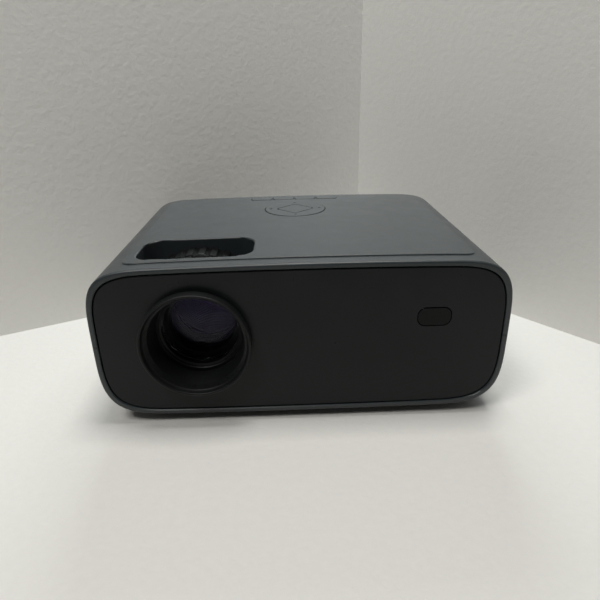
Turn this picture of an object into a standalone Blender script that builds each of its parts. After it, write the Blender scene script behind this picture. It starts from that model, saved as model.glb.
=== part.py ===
"""Mini projector: a soft-cornered casing with a lens at the front left, a window over the focus and
keystone rings in its top, and a round key pad with four row keys behind it.

Metres, +Z up, +X to the right as seen from the front, +Y towards the back. The origin is on the
table, under the middle of the whole object, whose front end is the lens bezel's lip.
"""

import math

import bmesh
import bpy
from mathutils import Matrix, Vector

# Fits and finishes that every piece shares
GAP = 0.0003
RUN_GAP = 0.0006
OVERRUN = 0.002
ROOT = 0.0008
FINE_STEPS = 32
ROUND_STEPS = 24
SMALL_STEPS = 10
ARC_STEPS = 4
LIP_STEPS = 6
SMOOTH_ANGLE = math.radians(32)

# Casing
BODY_WIDTH = 0.210
BODY_DEPTH = 0.150
BODY_HEIGHT = 0.0833
GROUND_GAP = 0.005
CORNER_REACH = 0.041
TOP_CORNER_POWER = 4.4
LOW_CORNER_POWER = 3.9
TOP_CROWN = 0.0015
LOW_CROWN = 0.001
WALL = 0.0028
RIM_ROUND = 0.0012
CORNER_STEPS = 6
RIM_STEPS = 2
FLAT_SHARES = (0.5, 0.0, -0.5)

# Raised field on the top
FIELD_RISE = 0.0007
FIELD_SETBACK = 0.0085
FIELD_SIDE = 0.017
FIELD_BACK = 0.006
FIELD_CORNER = 0.007
FIELD_EDGE = 0.0006
FIELD_STEP_SHARES = ((0.0, 0.0), (1 / 3, 3 / 4), (1.0, 1.0))

# Front and rear panels
PANEL_THICK = 0.0024
PANEL_RECESS = 0.0006
GROOVE = 0.0005
PANEL_EDGE = 0.0004

# Lens, its bezel and mount
LENS_MARGIN = 0.0155
LENS_RISE = 0.00135
BEZEL_PROUD = 0.006
BEZEL_LIP = 0.0016
BEZEL_WALL = 0.0014
BEZEL_SEAT = 0.0056
BEZEL_SLEEVE = 0.010
MOUNT_WALL = 0.0026
MOUNT_FLANGE = 0.0025
BARREL_WALL = 0.0024
BARREL_STEP = 0.004
BARREL_LENGTH = 0.038
FRONT_GLASS_SEAT = 0.012
FOCUS_TRAVEL = 0.0032
FRONT_GLASS = 0.006
FRONT_BULGE = 0.0035
INNER_GLASS = 0.0045
INNER_BULGE = 0.002
GLASS_SPACE = 0.003
BULGE_STEPS = 3

# Focus and keystone rings under the window
WINDOW_SIDE = 0.0068
WINDOW_WIDTH = 0.032
WINDOW_SETBACK = 0.0125
WINDOW_CORNER = 0.010
SKIRT_WALL = 0.0015
SKIRT_GAP = 0.00135
RING_ROOF_GAP = 0.0010
RING_WALL = 0.0096
RING_SPACING = 0.002
RING_END_GAP = 0.001
RIB_COUNT = 36
RIB_DEPTH = 0.0011
RIB_LAND_SHARE = 0.46
NUB_RADIUS = 0.0031
NUB_RISE = 0.0034
NUB_TURN = math.radians(4.5)

# Key pad and row keys
NAV_RADIUS = 0.0196
NAV_BACK = 0.044
KEY_GAP = 0.0003
KEY_TRAVEL = 0.0004
KEY_THICK = 0.0030
KEY_PROUD = 0.0002
OK_HALF_DIAGONAL = 0.0122
OK_CORNER = 0.0024
PIVOT_RADIUS = 0.0150
PIVOT_THICK = 0.0008
STEM_RADIUS = 0.0022
STEM_LENGTH = 0.0016
ROW_BEHIND = 0.0308
ROW_PITCH = 0.0153
ROW_KEY_LENGTH = 0.0142
ROW_KEY_WIDTH = 0.0060
ROW_KEY_CORNER = 0.0016
ROW_KEY_NAMES = ("key_power", "key_source", "key_menu", "key_return")
KEY_EDGE = 0.0003
SWITCH_SIZE = 0.006
SWITCH_HEIGHT = 0.0026
SWITCH_GAP = 0.0006
BOARD_THICK = 0.0016
BOARD_MARGIN = 0.008

# Feet, tilt foot and case screws
FOOT_RADIUS = 0.008
FOOT_SIDE = 0.025
FOOT_END = 0.022
FOOT_SEAT = 0.001
FOOT_ROUND = 0.0008
FOOT_NAMES = ("foot_front_left", "foot_front_right", "foot_rear_left", "foot_rear_right")
TILT_RADIUS = 0.0095
TILT_SETBACK = 0.016
TILT_LIFT = 0.0006
TILT_KNOB = 0.0036
TILT_GRIPS = 20
TILT_GRIP_DEPTH = 0.0006
STUD_RADIUS = 0.003
STUD_LENGTH = 0.020
STUD_BOSS_WALL = 0.0024
POST_RADIUS = 0.0042
POST_BORE = 0.0030
POST_SIDE = 0.015
SCREW_HEAD = 0.0026
SCREW_HEAD_THICK = 0.0018
SCREW_RADIUS = 0.0012
SCREW_LENGTH = 0.016
SCREW_GRIP = 0.009
RECESS_RADIUS = 0.0011
RECESS_DEPTH = 0.0009

# Vents
VENT_WIDTH = 0.0026
VENT_PITCH = 0.0056
VENT_HEIGHT = 0.016
VENT_SEAM_GAP = 0.004
REAR_VENT_COUNT = 9
REAR_VENT_HEIGHT = 0.030
GRILLE_COUNT = 6
GRILLE_LENGTH = 0.030

# Light engine behind the lens
ENGINE_ROOM = 0.0167
ENGINE_WALL = 0.002
ENGINE_SIDE_GAP = 0.001
LEG_WIDTH = 0.004
LEG_INSET = 0.004
SHEET_THICK = 0.0014
FRAME_THICK = 0.0040
FRAME_BORDER = 0.006
FRAME_SIDE_GAP = 0.0012
PIVOT_PIN = 0.0015
PANEL_GLASS = 0.0016
CONDENSER_MARGIN = 0.009
CONDENSER_THICK = 0.009
CONDENSER_EDGE = 0.002
FRONT_SHEET_SHARE = 0.30
LCD_SHARE = 0.48
REAR_SHEET_SHARE = 0.66
LED_BOARD_MARGIN = 0.011
LED_BOARD_THICK = 0.0016
LED_CHIP_SIZE = 0.014
LED_CHIP_THICK = 0.0012
SINK_BASE = 0.004
SINK_DEPTH = 0.024
SINK_FINS = 11
SINK_FIN = 0.0016
SINK_MARGIN = 0.002

# Fans
FAN_ROOM = 0.0177
FAN_THICK = 0.012
FAN_RIM = 0.0015
FAN_CORNER = 0.003
FAN_STRUT = 0.003
FAN_HUB = 0.0125
FAN_BLADES = 7
SIDE_WALL_GAP = 0.0010
BLADE_THICK = 0.0012
BLADE_PITCH = math.radians(35)
BLADE_TIP_SHARE = 0.94
HUB_SHARE = 0.62
FAN_POST_GAP = 0.0033
INTAKE_ROOM_SHARE = 0.64

# Boards, sockets and speaker
BOARD_LIFT = 0.006
BOARD_LEFT = 0.005
BOARD_RIGHT = 0.022
BOARD_SPLIT = 0.080
STANDOFF_RADIUS = 0.0025
HOLE_RADIUS = 0.0012
PANEL_CLEAR = 0.001
PORT_ROOM_SHARES = (0.3495, 0.1456, 0.1505, 0.1214)
HDMI_SIZE = (0.0150, 0.0120, 0.0058)
USB_SIZE = (0.0135, 0.0140, 0.0066)
JACK_RADIUS = 0.0030
JACK_BORE = 0.00175
JACK_LENGTH = 0.014
CARD_SIZE = (0.0140, 0.0150, 0.0022)
SOCKET_WALL = 0.0005
TONGUE_THICK = 0.0012
SOCKET_SETBACK = 0.0004
INLET_SIDE = 0.047
INLET_RISE = 0.00535
INLET_SIZE = (0.0215, 0.0160, 0.0130)
INLET_MOUTH = (0.0165, 0.0092)
INLET_DEPTH = 0.011
INLET_CORNER = 0.0044
INLET_PIN = 0.0012
INLET_PIN_SPACING = 0.0086
TRANSFORMER_SIZE = (0.026, 0.024, 0.020)
TRANSFORMER_CORE = 0.005
CAPACITOR_RADIUS = 0.008
CAPACITOR_LENGTH = 0.026
CAPACITOR_CRIMP = 0.0008
CRIMP_LOW_SHARE = 0.80
CRIMP_MIDDLE_SHARE = 0.84
CRIMP_HIGH_SHARE = 0.88
SPEAKER_SIZE = 0.038
SPEAKER_ROOM_SHARE = 0.115
SPEAKER_RIM = 0.0025
SPEAKER_CONE = 0.016
SPEAKER_DEPTH = 0.014
SPEAKER_MAGNET = 0.011
CONE_WALL = 0.0006
SIGNAL_SIDE = 0.0385
SIGNAL_RISE = 0.0114
SIGNAL_SIZE = (0.0168, 0.0099)
SIGNAL_CORNER = 0.004
SIGNAL_BOARD = (0.014, 0.0012, 0.012)
SIGNAL_DOME = 0.0025
SIGNAL_DOME_LENGTH = 0.004

# Places worked out from the sizes
FRONT_Y = (BEZEL_PROUD - BODY_DEPTH) / 2
RIGHT_X = BODY_WIDTH / 2
BACK_Y = FRONT_Y + BODY_DEPTH
LOW_Z = GROUND_GAP
TOP_Z = LOW_Z + BODY_HEIGHT
MID_Z = (LOW_Z + TOP_Z) / 2
LENS_Z = MID_Z + LENS_RISE
PANEL_FRONT = FRONT_Y + PANEL_RECESS
PANEL_BACK = PANEL_FRONT + PANEL_THICK
REAR_FACE = BACK_Y - PANEL_RECESS
REAR_INNER = REAR_FACE - PANEL_THICK
FLOOR_Z = LOW_Z + WALL
MOUNT_FRONT = FRONT_Y + BEZEL_SLEEVE + GAP
RING_RADIUS = TOP_Z - WALL - LENS_Z - RING_ROOF_GAP
LENS_X = RING_RADIUS + LENS_MARGIN - RIGHT_X
WINDOW_LENGTH = 2 * (RING_RADIUS - WINDOW_SIDE)
MOUNT_RADIUS = RING_RADIUS - RING_WALL - GAP
MOUNT_BORE = MOUNT_RADIUS - MOUNT_WALL
BEZEL_BORE = MOUNT_BORE - MOUNT_WALL / 2 - GAP
BEZEL_RADIUS = BEZEL_BORE + BEZEL_SEAT
BARREL_RADIUS = MOUNT_BORE - GAP
BARREL_FRONT = MOUNT_FRONT + FOCUS_TRAVEL / 2
WINDOW_FRONT = FRONT_Y + WINDOW_SETBACK
WINDOW_BACK = WINDOW_FRONT + WINDOW_WIDTH
RING_WIDTH = (WINDOW_WIDTH - 2 * RING_END_GAP - RING_SPACING) / 2
ENGINE_HEIGHT = BODY_HEIGHT - 2 * WALL - ENGINE_ROOM
FAN_SIZE = BODY_HEIGHT - 2 * WALL - FAN_ROOM
FAN_BORE = FAN_SIZE / 2 - FAN_RIM
ENGINE_FRONT = WINDOW_BACK + SKIRT_WALL + GAP + MOUNT_FLANGE + SHEET_THICK
NAV_Y = BACK_Y - NAV_BACK
ROW_Y = NAV_Y + ROW_BEHIND
SINK_BACK = REAR_INNER - GAP
SINK_FRONT = SINK_BACK - SINK_DEPTH
LED_FRONT = SINK_FRONT - GAP - LED_BOARD_THICK
ENGINE_BACK = LED_FRONT - GAP


def clear_scene():
    """Empties the file of the objects it opens with."""
    for thing in list(bpy.data.objects):
        bpy.data.objects.remove(thing, do_unlink=True)


def paint(name, colour, roughness, metallic=0.0):
    """A plain finish with the piece's colour, roughness and metal share."""
    finish = bpy.data.materials.new(name)
    finish.use_nodes = True
    shader = finish.node_tree.nodes["Principled BSDF"]
    shader.inputs["Base Color"].default_value = (*colour, 1.0)
    shader.inputs["Roughness"].default_value = roughness
    shader.inputs["Metallic"].default_value = metallic
    finish.diffuse_color = (*colour, 1.0)
    return finish


def solid(name, points, faces, finish=None, place=None):
    """An object from points and faces, with its faces turned outwards and its round sides smooth."""
    mesh = bpy.data.meshes.new(name)
    mesh.from_pydata([tuple(point) for point in points], [], faces)
    work = bmesh.new()
    work.from_mesh(mesh)
    bmesh.ops.recalc_face_normals(work, faces=work.faces)
    work.to_mesh(mesh)
    work.free()
    mesh.shade_smooth()
    mesh.set_sharp_from_angle(angle=SMOOTH_ANGLE)
    thing = bpy.data.objects.new(name, mesh)
    bpy.context.scene.collection.objects.link(thing)
    if finish:
        mesh.materials.append(finish)
    if place:
        thing.matrix_world = place
    return thing


def helper(thing):
    """Marks an object as a cutter or a fused shape, which isn't a piece by itself."""
    thing.hide_render = True
    thing.display_type = "WIRE"
    return thing


def cut(target, tool):
    """Takes the helper's shape out of the target."""
    step = target.modifiers.new("Cut " + tool.name, "BOOLEAN")
    step.operation = "DIFFERENCE"
    step.solver = "EXACT"
    step.object = helper(tool)


def fuse(target, tool):
    """Adds the helper's shape to the target."""
    step = target.modifiers.new("Fuse " + tool.name, "BOOLEAN")
    step.operation = "UNION"
    step.solver = "EXACT"
    step.object = helper(tool)


def skin_faces(levels, count):
    """Faces that join each ring of points to the next one."""
    faces = []
    for level in range(levels - 1):
        for step in range(count):
            near = level * count + step
            beside = level * count + (step + 1) % count
            faces.append((near, beside, beside + count, near + count))
    return faces


def lofted(name, rings, finish=None, place=None):
    """A solid through rings of points, closed by a flat face at each end."""
    count = len(rings[0])
    points = [point for ring in rings for point in ring]
    faces = skin_faces(len(rings), count)
    faces.append(tuple(range(count)))
    faces.append(tuple(range(len(points) - count, len(points))))
    return solid(name, points, faces, finish, place)


def strip_lofted(name, rings, finish=None):
    """A solid through rings whose second half runs back beside the first, with strips as its ends."""
    count = len(rings[0])
    points = [point for ring in rings for point in ring]
    faces = skin_faces(len(rings), count)
    for start in (0, len(points) - count):
        for step in range(count // 2 - 1):
            back = count - 1 - step
            faces.append((start + step, start + step + 1, start + back - 1, start + back))
    return solid(name, points, faces, finish)


def along(axis, first, second, depth):
    """A point from two coordinates across an axis and one along it."""
    if axis == "X":
        return (depth, first, second)
    if axis == "Y":
        return (first, depth, second)
    return (first, second, depth)


def extruded(name, outline, low, high, axis, finish=None, edge=0.0, place=None):
    """An outline extruded along an axis. With an edge, its high end is drawn in by that much."""
    ends = [(low, 0.0), (high - edge, 0.0), (high, edge)] if edge else [(low, 0.0), (high, 0.0)]
    centre_a = sum(point[0] for point in outline) / len(outline)
    centre_b = sum(point[1] for point in outline) / len(outline)
    reach = max(math.hypot(a - centre_a, b - centre_b) for a, b in outline)
    rings = []
    for depth, inset in ends:
        scale = 1.0 - inset / reach
        ring = [
            along(axis, centre_a + (a - centre_a) * scale, centre_b + (b - centre_b) * scale, depth)
            for a, b in outline
        ]
        rings.append(ring)
    return lofted(name, rings, finish, place)


def rounded(width, height, corner, centre=(0.0, 0.0), steps=ARC_STEPS):
    """The outline of a rectangle with round corners."""
    points = []
    quarters = ((1, 1), (-1, 1), (-1, -1), (1, -1))
    for quarter, (side, rise) in enumerate(quarters):
        for step in range(steps + 1):
            turn = math.pi / 2 * (quarter + step / steps)
            points.append(
                (
                    centre[0] + side * (width / 2 - corner) + corner * math.cos(turn),
                    centre[1] + rise * (height / 2 - corner) + corner * math.sin(turn),
                )
            )
    return points


def box_outline(width, height, centre=(0.0, 0.0)):
    """The outline of a plain rectangle."""
    sides = ((1, 1), (-1, 1), (-1, -1), (1, -1))
    return [(centre[0] + a * width / 2, centre[1] + b * height / 2) for a, b in sides]


def circle(radius, centre=(0.0, 0.0), steps=SMALL_STEPS):
    """The outline of a circle."""
    turns = [2 * math.pi * step / steps for step in range(steps)]
    return [(centre[0] + radius * math.cos(t), centre[1] + radius * math.sin(t)) for t in turns]


def facing(axis, centre):
    """A place whose own Z runs along the axis."""
    turn = Vector((0.0, 0.0, 1.0)).rotation_difference(Vector(axis)).to_matrix().to_4x4()
    return Matrix.Translation(Vector(centre)) @ turn


def turned(name, profile, centre, axis=(0.0, 0.0, 1.0), steps=ROUND_STEPS, finish=None):
    """A turned solid from a closed profile of radius and distance along the axis."""
    points = []
    rows = []
    for radius, distance in profile:
        row_steps = steps if radius else 1
        rows.append([len(points) + step for step in range(row_steps)])
        for step in range(row_steps):
            angle = 2 * math.pi * step / steps
            points.append((radius * math.cos(angle), radius * math.sin(angle), distance))
    faces = []
    for near, far in zip(rows, rows[1:] + rows[:1]):
        if len(near) == 1 and len(far) == 1:
            continue
        for step in range(steps):
            after = (step + 1) % steps
            corners = [near[step % len(near)], near[after % len(near)]]
            corners += [far[after % len(far)], far[step % len(far)]]
            faces.append(tuple(dict.fromkeys(corners)))
    return solid(name, points, faces, finish, facing(axis, centre))


def rod(name, radius, low, high, centre, finish=None, axis="Z", steps=SMALL_STEPS):
    """A plain round bar, mostly a helper."""
    return extruded(name, circle(radius, centre, steps), low, high, axis, finish)


def block(name, low, high, finish=None):
    """A plain rectangular bar between two corners, mostly a helper."""
    outline = [(low[0], low[1]), (high[0], low[1]), (high[0], high[1]), (low[0], high[1])]
    return extruded(name, outline, low[2], high[2], "Z", finish)


def half_outline(inset, upper):
    """The casing's outline above or below its middle, from +X to -X, set in by inset."""
    half_width = BODY_WIDTH / 2 - inset
    half_height = BODY_HEIGHT / 2 - inset
    reach = CORNER_REACH - inset
    power = TOP_CORNER_POWER if upper else LOW_CORNER_POWER
    crown = TOP_CROWN if upper else LOW_CROWN
    corner = []
    for step in range(CORNER_STEPS + 1):
        turn = math.pi / 2 * step / CORNER_STEPS
        across = abs(math.cos(turn)) ** (2 / power) if step < CORNER_STEPS else 0.0
        corner.append((half_width - reach + reach * across, half_height * math.sin(turn) ** (2 / power)))
    flats = [((half_width - reach) * share, half_height) for share in FLAT_SHARES]
    side = 1 if upper else -1
    points = []
    for x, rise in corner + flats + [(-x, rise) for x, rise in reversed(corner)]:
        drop = crown * (x / half_width) ** 2 * rise / half_height
        points.append((x, MID_Z + side * max(rise - drop, 0.0)))
    return points


def whole_outline(inset):
    """The casing's whole outline, set in by inset."""
    return half_outline(inset, True) + half_outline(inset, False)[-2:0:-1]


def roof_z(x, inset=0.0):
    """The height of the top's surface at x."""
    half_width = BODY_WIDTH / 2 - inset
    half_height = BODY_HEIGHT / 2 - inset
    reach = CORNER_REACH - inset
    past = min(max(abs(x) - (half_width - reach), 0.0) / reach, 1.0)
    rise = half_height * (1.0 - past**TOP_CORNER_POWER) ** (1 / TOP_CORNER_POWER)
    return MID_Z + rise - TOP_CROWN * (x / half_width) ** 2 * rise / half_height


def floor_z(x, inset=0.0):
    """The height of the bottom's surface at x."""
    half_width = BODY_WIDTH / 2 - inset
    half_height = BODY_HEIGHT / 2 - inset
    reach = CORNER_REACH - inset
    past = min(max(abs(x) - (half_width - reach), 0.0) / reach, 1.0)
    rise = half_height * (1.0 - past**LOW_CORNER_POWER) ** (1 / LOW_CORNER_POWER)
    return MID_Z - rise + LOW_CROWN * (x / half_width) ** 2 * rise / half_height


def side_x(offset, inset=0.0):
    """The half width of the casing at a height above or below its middle."""
    half_width = BODY_WIDTH / 2 - inset
    half_height = BODY_HEIGHT / 2 - inset
    reach = CORNER_REACH - inset
    power = min(TOP_CORNER_POWER, LOW_CORNER_POWER)
    share = min(abs(offset) / half_height, 1.0)
    return half_width - reach + reach * (1.0 - share**power) ** (1 / power)


def rim_levels():
    """Places along the depth and how far the outer surface is drawn in there, for both round rims."""
    turns = [math.pi / 2 * step / RIM_STEPS for step in range(RIM_STEPS + 1)]
    rim = [(RIM_ROUND * (1 - math.cos(turn)), RIM_ROUND * (1 - math.sin(turn))) for turn in turns]
    levels = [(FRONT_Y + into, inset) for into, inset in rim]
    return levels + [(BACK_Y - into, inset) for into, inset in reversed(rim)]


def shell(name, upper, finish):
    """One half of the casing: its outline lofted along the depth, with round rims and an even wall."""
    seam = MID_Z + GAP / 2 if upper else MID_Z - GAP / 2
    inner = half_outline(WALL, upper)
    rings = []
    for depth, inset in rim_levels():
        outer = half_outline(inset, upper)
        ring = []
        for line in (outer, list(reversed(inner))):
            for place, (x, z) in enumerate(line):
                level = seam if place in (0, len(line) - 1) else z
                ring.append((x, depth, level))
        rings.append(ring)
    return strip_lofted(name, rings, finish)


def field_outline(inset):
    """Front and back edges of the raised field, from -X to +X, with round corners."""
    half = BODY_WIDTH / 2 - FIELD_SIDE - inset
    front = FRONT_Y + FIELD_SETBACK + inset
    back = BACK_Y - FIELD_BACK - inset
    edge = []
    for step in range(ARC_STEPS + 1):
        turn = math.pi / 2 * step / ARC_STEPS
        edge.append((FIELD_CORNER * (1 - math.cos(turn)), FIELD_CORNER * (1 - math.sin(turn))))
    corner = [(-half + into, rise) for into, rise in edge]
    flat = half - FIELD_CORNER
    line = corner + [(flat * share, 0.0) for share in reversed(FLAT_SHARES)]
    line += [(-x, rise) for x, rise in reversed(corner)]
    return [(x, front + rise) for x, rise in line], [(x, back - rise) for x, rise in line]


def raised_field():
    """The slightly raised field of the top, with a soft step all round."""
    rings = []
    levels = [(0.0, -ROOT)]
    for across_share, rise_share in FIELD_STEP_SHARES:
        levels.append((FIELD_EDGE * across_share, FIELD_RISE * rise_share))
    for inset, rise in levels:
        front, back = field_outline(inset)
        rings.append([(x, y, roof_z(x) + rise) for x, y in front + list(reversed(back))])
    return strip_lofted("raised_field", rings)


def slots(name, places, width, height, low, high, axis):
    """Vent slots with drawn-in ends, all in one cutter. Places are the slots' middles."""
    points = []
    faces = []
    for first, second in places:
        outline = [
            (first, second + height / 2),
            (first - width / 2, second + height / 2 - width / 2),
            (first - width / 2, second - height / 2 + width / 2),
            (first, second - height / 2),
            (first + width / 2, second - height / 2 + width / 2),
            (first + width / 2, second + height / 2 - width / 2),
        ]
        start = len(points)
        count = len(outline)
        for depth in (low, high):
            points += [along(axis, a, b, depth) for a, b in outline]
        faces += [tuple(start + corner for corner in face) for face in skin_faces(2, count)]
        faces.append(tuple(range(start, start + count)))
        faces.append(tuple(range(start + count, start + 2 * count)))
    return solid(name, points, faces)


def vent_places(middle, span, height):
    """Middles of the slots that fit a span."""
    count = max(int(span / VENT_PITCH), 1)
    first = middle - VENT_PITCH * (count - 1) / 2
    return [(first + VENT_PITCH * step, height) for step in range(count)]


def post_places():
    """Places of the four screw posts, front ones first."""
    side = BODY_WIDTH / 2 - POST_SIDE
    front = PANEL_BACK + GAP + POST_RADIUS
    back = REAR_INNER - GAP - POST_RADIUS
    return [(-side, front), (side, front), (-side, back), (side, back)]


def exhaust_y():
    """The middle of the exhaust fan, in front of the left rear post."""
    return post_span()[1] - FAN_POST_GAP - FAN_SIZE / 2


def post_span():
    """Where the room between the front and the rear screw posts starts and ends."""
    return PANEL_BACK + GAP + 2 * POST_RADIUS, REAR_INNER - GAP - 2 * POST_RADIUS


def spare_room():
    """Room along the right side that the speaker and the intake fan leave between the posts."""
    return post_span()[1] - post_span()[0] - FAN_SIZE - SPEAKER_SIZE


def intake_y():
    """The middle of the intake fan."""
    return post_span()[1] - spare_room() * INTAKE_ROOM_SHARE - FAN_SIZE / 2


def speaker_y():
    """The middle of the speaker."""
    return post_span()[0] + spare_room() * SPEAKER_ROOM_SHARE + SPEAKER_SIZE / 2


def side_vents(target, upper):
    """Vent slots through both side walls of one casing half."""
    rise = VENT_SEAM_GAP + VENT_HEIGHT / 2
    height = MID_Z + rise if upper else MID_Z - rise
    end = BODY_WIDTH / 2 + OVERRUN
    start = side_x(VENT_HEIGHT + VENT_SEAM_GAP, WALL) - OVERRUN
    word = "upper" if upper else "lower"
    left = vent_places(exhaust_y(), FAN_SIZE, height)
    right = vent_places(intake_y(), FAN_SIZE, height)
    right += vent_places(speaker_y(), SPEAKER_SIZE, height)
    cut(target, slots(word + "_left_vents", left, VENT_WIDTH, VENT_HEIGHT, -end, -start, "X"))
    cut(target, slots(word + "_right_vents", right, VENT_WIDTH, VENT_HEIGHT, start, end, "X"))


def window_outline(grow=0.0):
    """The focus window's outline, grown by a wall or a gap."""
    centre = (LENS_X, (WINDOW_FRONT + WINDOW_BACK) / 2)
    return rounded(WINDOW_LENGTH + 2 * grow, WINDOW_WIDTH + 2 * grow, WINDOW_CORNER + grow, centre)


def skirt_floor():
    """The height of the skirt's lower edge, above the mount and the rings at the window's round corners."""
    corner = math.sqrt(WINDOW_CORNER**2 - (WINDOW_CORNER - RING_END_GAP) ** 2)
    reach = WINDOW_LENGTH / 2 - WINDOW_CORNER + corner
    return LENS_Z + max(MOUNT_RADIUS, math.sqrt(RING_RADIUS**2 - reach**2)) + SKIRT_GAP


def row_places():
    """Middles of the row keys, left to right."""
    first = -ROW_PITCH * (len(ROW_KEY_NAMES) - 1) / 2
    return [(first + ROW_PITCH * step, ROW_Y) for step in range(len(ROW_KEY_NAMES))]


def board_posts():
    """Places of the posts that carry the key board."""
    low, high = key_board_corners()
    inset = STANDOFF_RADIUS
    return [(x, y) for x in (low[0] + inset, high[0] - inset) for y in (low[1] + inset, high[1] - inset)]


def key_floor():
    """The height of the key caps' underside."""
    return TOP_Z + FIELD_RISE + KEY_PROUD - KEY_THICK


def key_board_corners():
    """Lowest and highest corners of the key board, in X and Y."""
    half = NAV_RADIUS + BOARD_MARGIN + STANDOFF_RADIUS * 2
    return (-half, NAV_Y - NAV_RADIUS - BOARD_MARGIN), (half, ROW_Y + ROW_KEY_WIDTH / 2)


def key_board_top():
    """The height of the key board's upper face."""
    return key_floor() - STEM_LENGTH - SWITCH_GAP - SWITCH_HEIGHT


def nub_reach():
    """How far the pivot plate's nubs and their switches lie from the middle of the pad."""
    return PIVOT_RADIUS - STEM_RADIUS - ROOT


def make_top_shell(finish):
    """Upper casing: raised field, focus window with its skirt, key openings, vents and posts."""
    top = shell("top_shell", True, finish)
    fuse(top, raised_field())
    skirt_low = skirt_floor()
    edge_x = abs(LENS_X) + WINDOW_LENGTH / 2 + SKIRT_WALL
    skirt_high = roof_z(edge_x) - WALL / 2
    fuse(top, extruded("window_skirt", window_outline(SKIRT_WALL), skirt_low, skirt_high, "Z"))
    high = TOP_Z + FIELD_RISE + OVERRUN
    for number, (x, y) in enumerate(post_places()):
        post = rod(f"upper_post_{number}", POST_RADIUS, MID_Z + GAP / 2, roof_z(x) - WALL / 2, (x, y))
        fuse(top, post)
    for number, (x, y) in enumerate(board_posts()):
        low = key_board_top() + GAP
        fuse(top, rod(f"key_board_post_{number}", STANDOFF_RADIUS, low, roof_z(x) - WALL / 2, (x, y)))
    cut(top, extruded("window_cutter", window_outline(), skirt_low - OVERRUN, high, "Z"))
    nav_hole = circle(NAV_RADIUS + KEY_GAP, (0.0, NAV_Y), ROUND_STEPS)
    cut(top, extruded("nav_cutter", nav_hole, key_floor() - OVERRUN, high, "Z"))
    for number, place in enumerate(row_places()):
        size = (ROW_KEY_LENGTH + 2 * KEY_GAP, ROW_KEY_WIDTH + 2 * KEY_GAP)
        hole = rounded(*size, ROW_KEY_CORNER + KEY_GAP, place, 2)
        cut(top, extruded(f"row_cutter_{number}", hole, key_floor() - OVERRUN, high, "Z"))
    for number, place in enumerate(post_places()):
        hole_top = MID_Z + SCREW_GRIP + OVERRUN
        cut(top, rod(f"upper_screw_hole_{number}", SCREW_RADIUS + GAP, MID_Z - OVERRUN, hole_top, place))
    side_vents(top, True)
    return top


def foot_places():
    """Places of the four rubber feet."""
    side = BODY_WIDTH / 2 - FOOT_SIDE
    ends = (FRONT_Y + FOOT_END, BACK_Y - FOOT_END)
    return [(x, y) for y in ends for x in (-side, side)]


def foot_top():
    """The height of the feet's upper face, in their seats."""
    return floor_z(BODY_WIDTH / 2 - FOOT_SIDE) + FOOT_SEAT


def board_areas():
    """Lowest and highest corners, in X and Y, of the power board and the main board."""
    left = LENS_X + engine_half_width() + BOARD_LEFT
    right = BODY_WIDTH / 2 - BOARD_RIGHT
    split = FRONT_Y + BOARD_SPLIT
    front = tilt_place()[1] + tilt_boss_radius() + PANEL_CLEAR
    power = ((left, front), (right, split - PANEL_CLEAR))
    main = ((left, split), (right, REAR_INNER - PANEL_CLEAR))
    return power, main


def standoff_places(area):
    """Places of a board's standoffs, near its corners."""
    low, high = area
    inset = 2 * STANDOFF_RADIUS
    return [(x, y) for x in (low[0] + inset, high[0] - inset) for y in (low[1] + inset, high[1] - inset)]


def tilt_place():
    """The middle of the tilt foot."""
    return (0.0, FRONT_Y + TILT_SETBACK)


def tilt_boss_radius():
    """The outer radius of the boss that the tilt foot's stud runs in."""
    return STUD_RADIUS + GAP + STUD_BOSS_WALL


def screw_seat():
    """The height of the ledge that the case screws' heads pull on."""
    return MID_Z - (SCREW_LENGTH - SCREW_GRIP)


def make_bottom_shell(finish):
    """Lower casing: foot seats, tilt foot boss, screw posts, standoffs, vents and speaker grille."""
    low_shell = shell("bottom_shell", False, finish)
    under = LOW_Z - OVERRUN
    for number, (x, y) in enumerate(post_places()):
        start = floor_z(x, WALL) - WALL / 2
        fuse(low_shell, rod(f"lower_post_{number}", POST_RADIUS, start, MID_Z - GAP / 2, (x, y)))
    boss_top = LOW_Z + TILT_LIFT + STUD_LENGTH
    boss = rod("tilt_boss", tilt_boss_radius(), FLOOR_Z - WALL / 2, boss_top, tilt_place())
    fuse(low_shell, boss)
    number = 0
    for area in board_areas():
        for x, y in standoff_places(area):
            start = floor_z(x, WALL) - WALL / 2
            end = FLOOR_Z + BOARD_LIFT - GAP
            post = rod(f"standoff_{number}", STANDOFF_RADIUS, start, end, (x, y), steps=SMALL_STEPS // 2)
            fuse(low_shell, post)
            number += 1
    for number, place in enumerate(post_places()):
        cut(low_shell, rod(f"screw_well_{number}", POST_BORE, under, screw_seat(), place))
        cut(low_shell, rod(f"screw_hole_{number}", SCREW_RADIUS + GAP, under, MID_Z + OVERRUN, place))
    for number, place in enumerate(foot_places()):
        high = foot_top() + GAP
        cut(low_shell, rod(f"foot_seat_{number}", FOOT_RADIUS + GAP, under, high, place, steps=ROUND_STEPS))
    cut(low_shell, rod("tilt_bore", STUD_RADIUS + GAP, under, boss_top + OVERRUN, tilt_place()))
    grille_y = (board_areas()[0][0][1] + board_areas()[0][1][1]) / 2
    middle = (board_areas()[0][0][0] + board_areas()[0][1][0]) / 2
    first = middle - VENT_PITCH * (GRILLE_COUNT - 1) / 2
    places = [(first + VENT_PITCH * step, grille_y) for step in range(GRILLE_COUNT)]
    cut(low_shell, slots("floor_grille", places, VENT_WIDTH, GRILLE_LENGTH, under, FLOOR_Z + OVERRUN, "Z"))
    side_vents(low_shell, False)
    return low_shell


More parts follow.
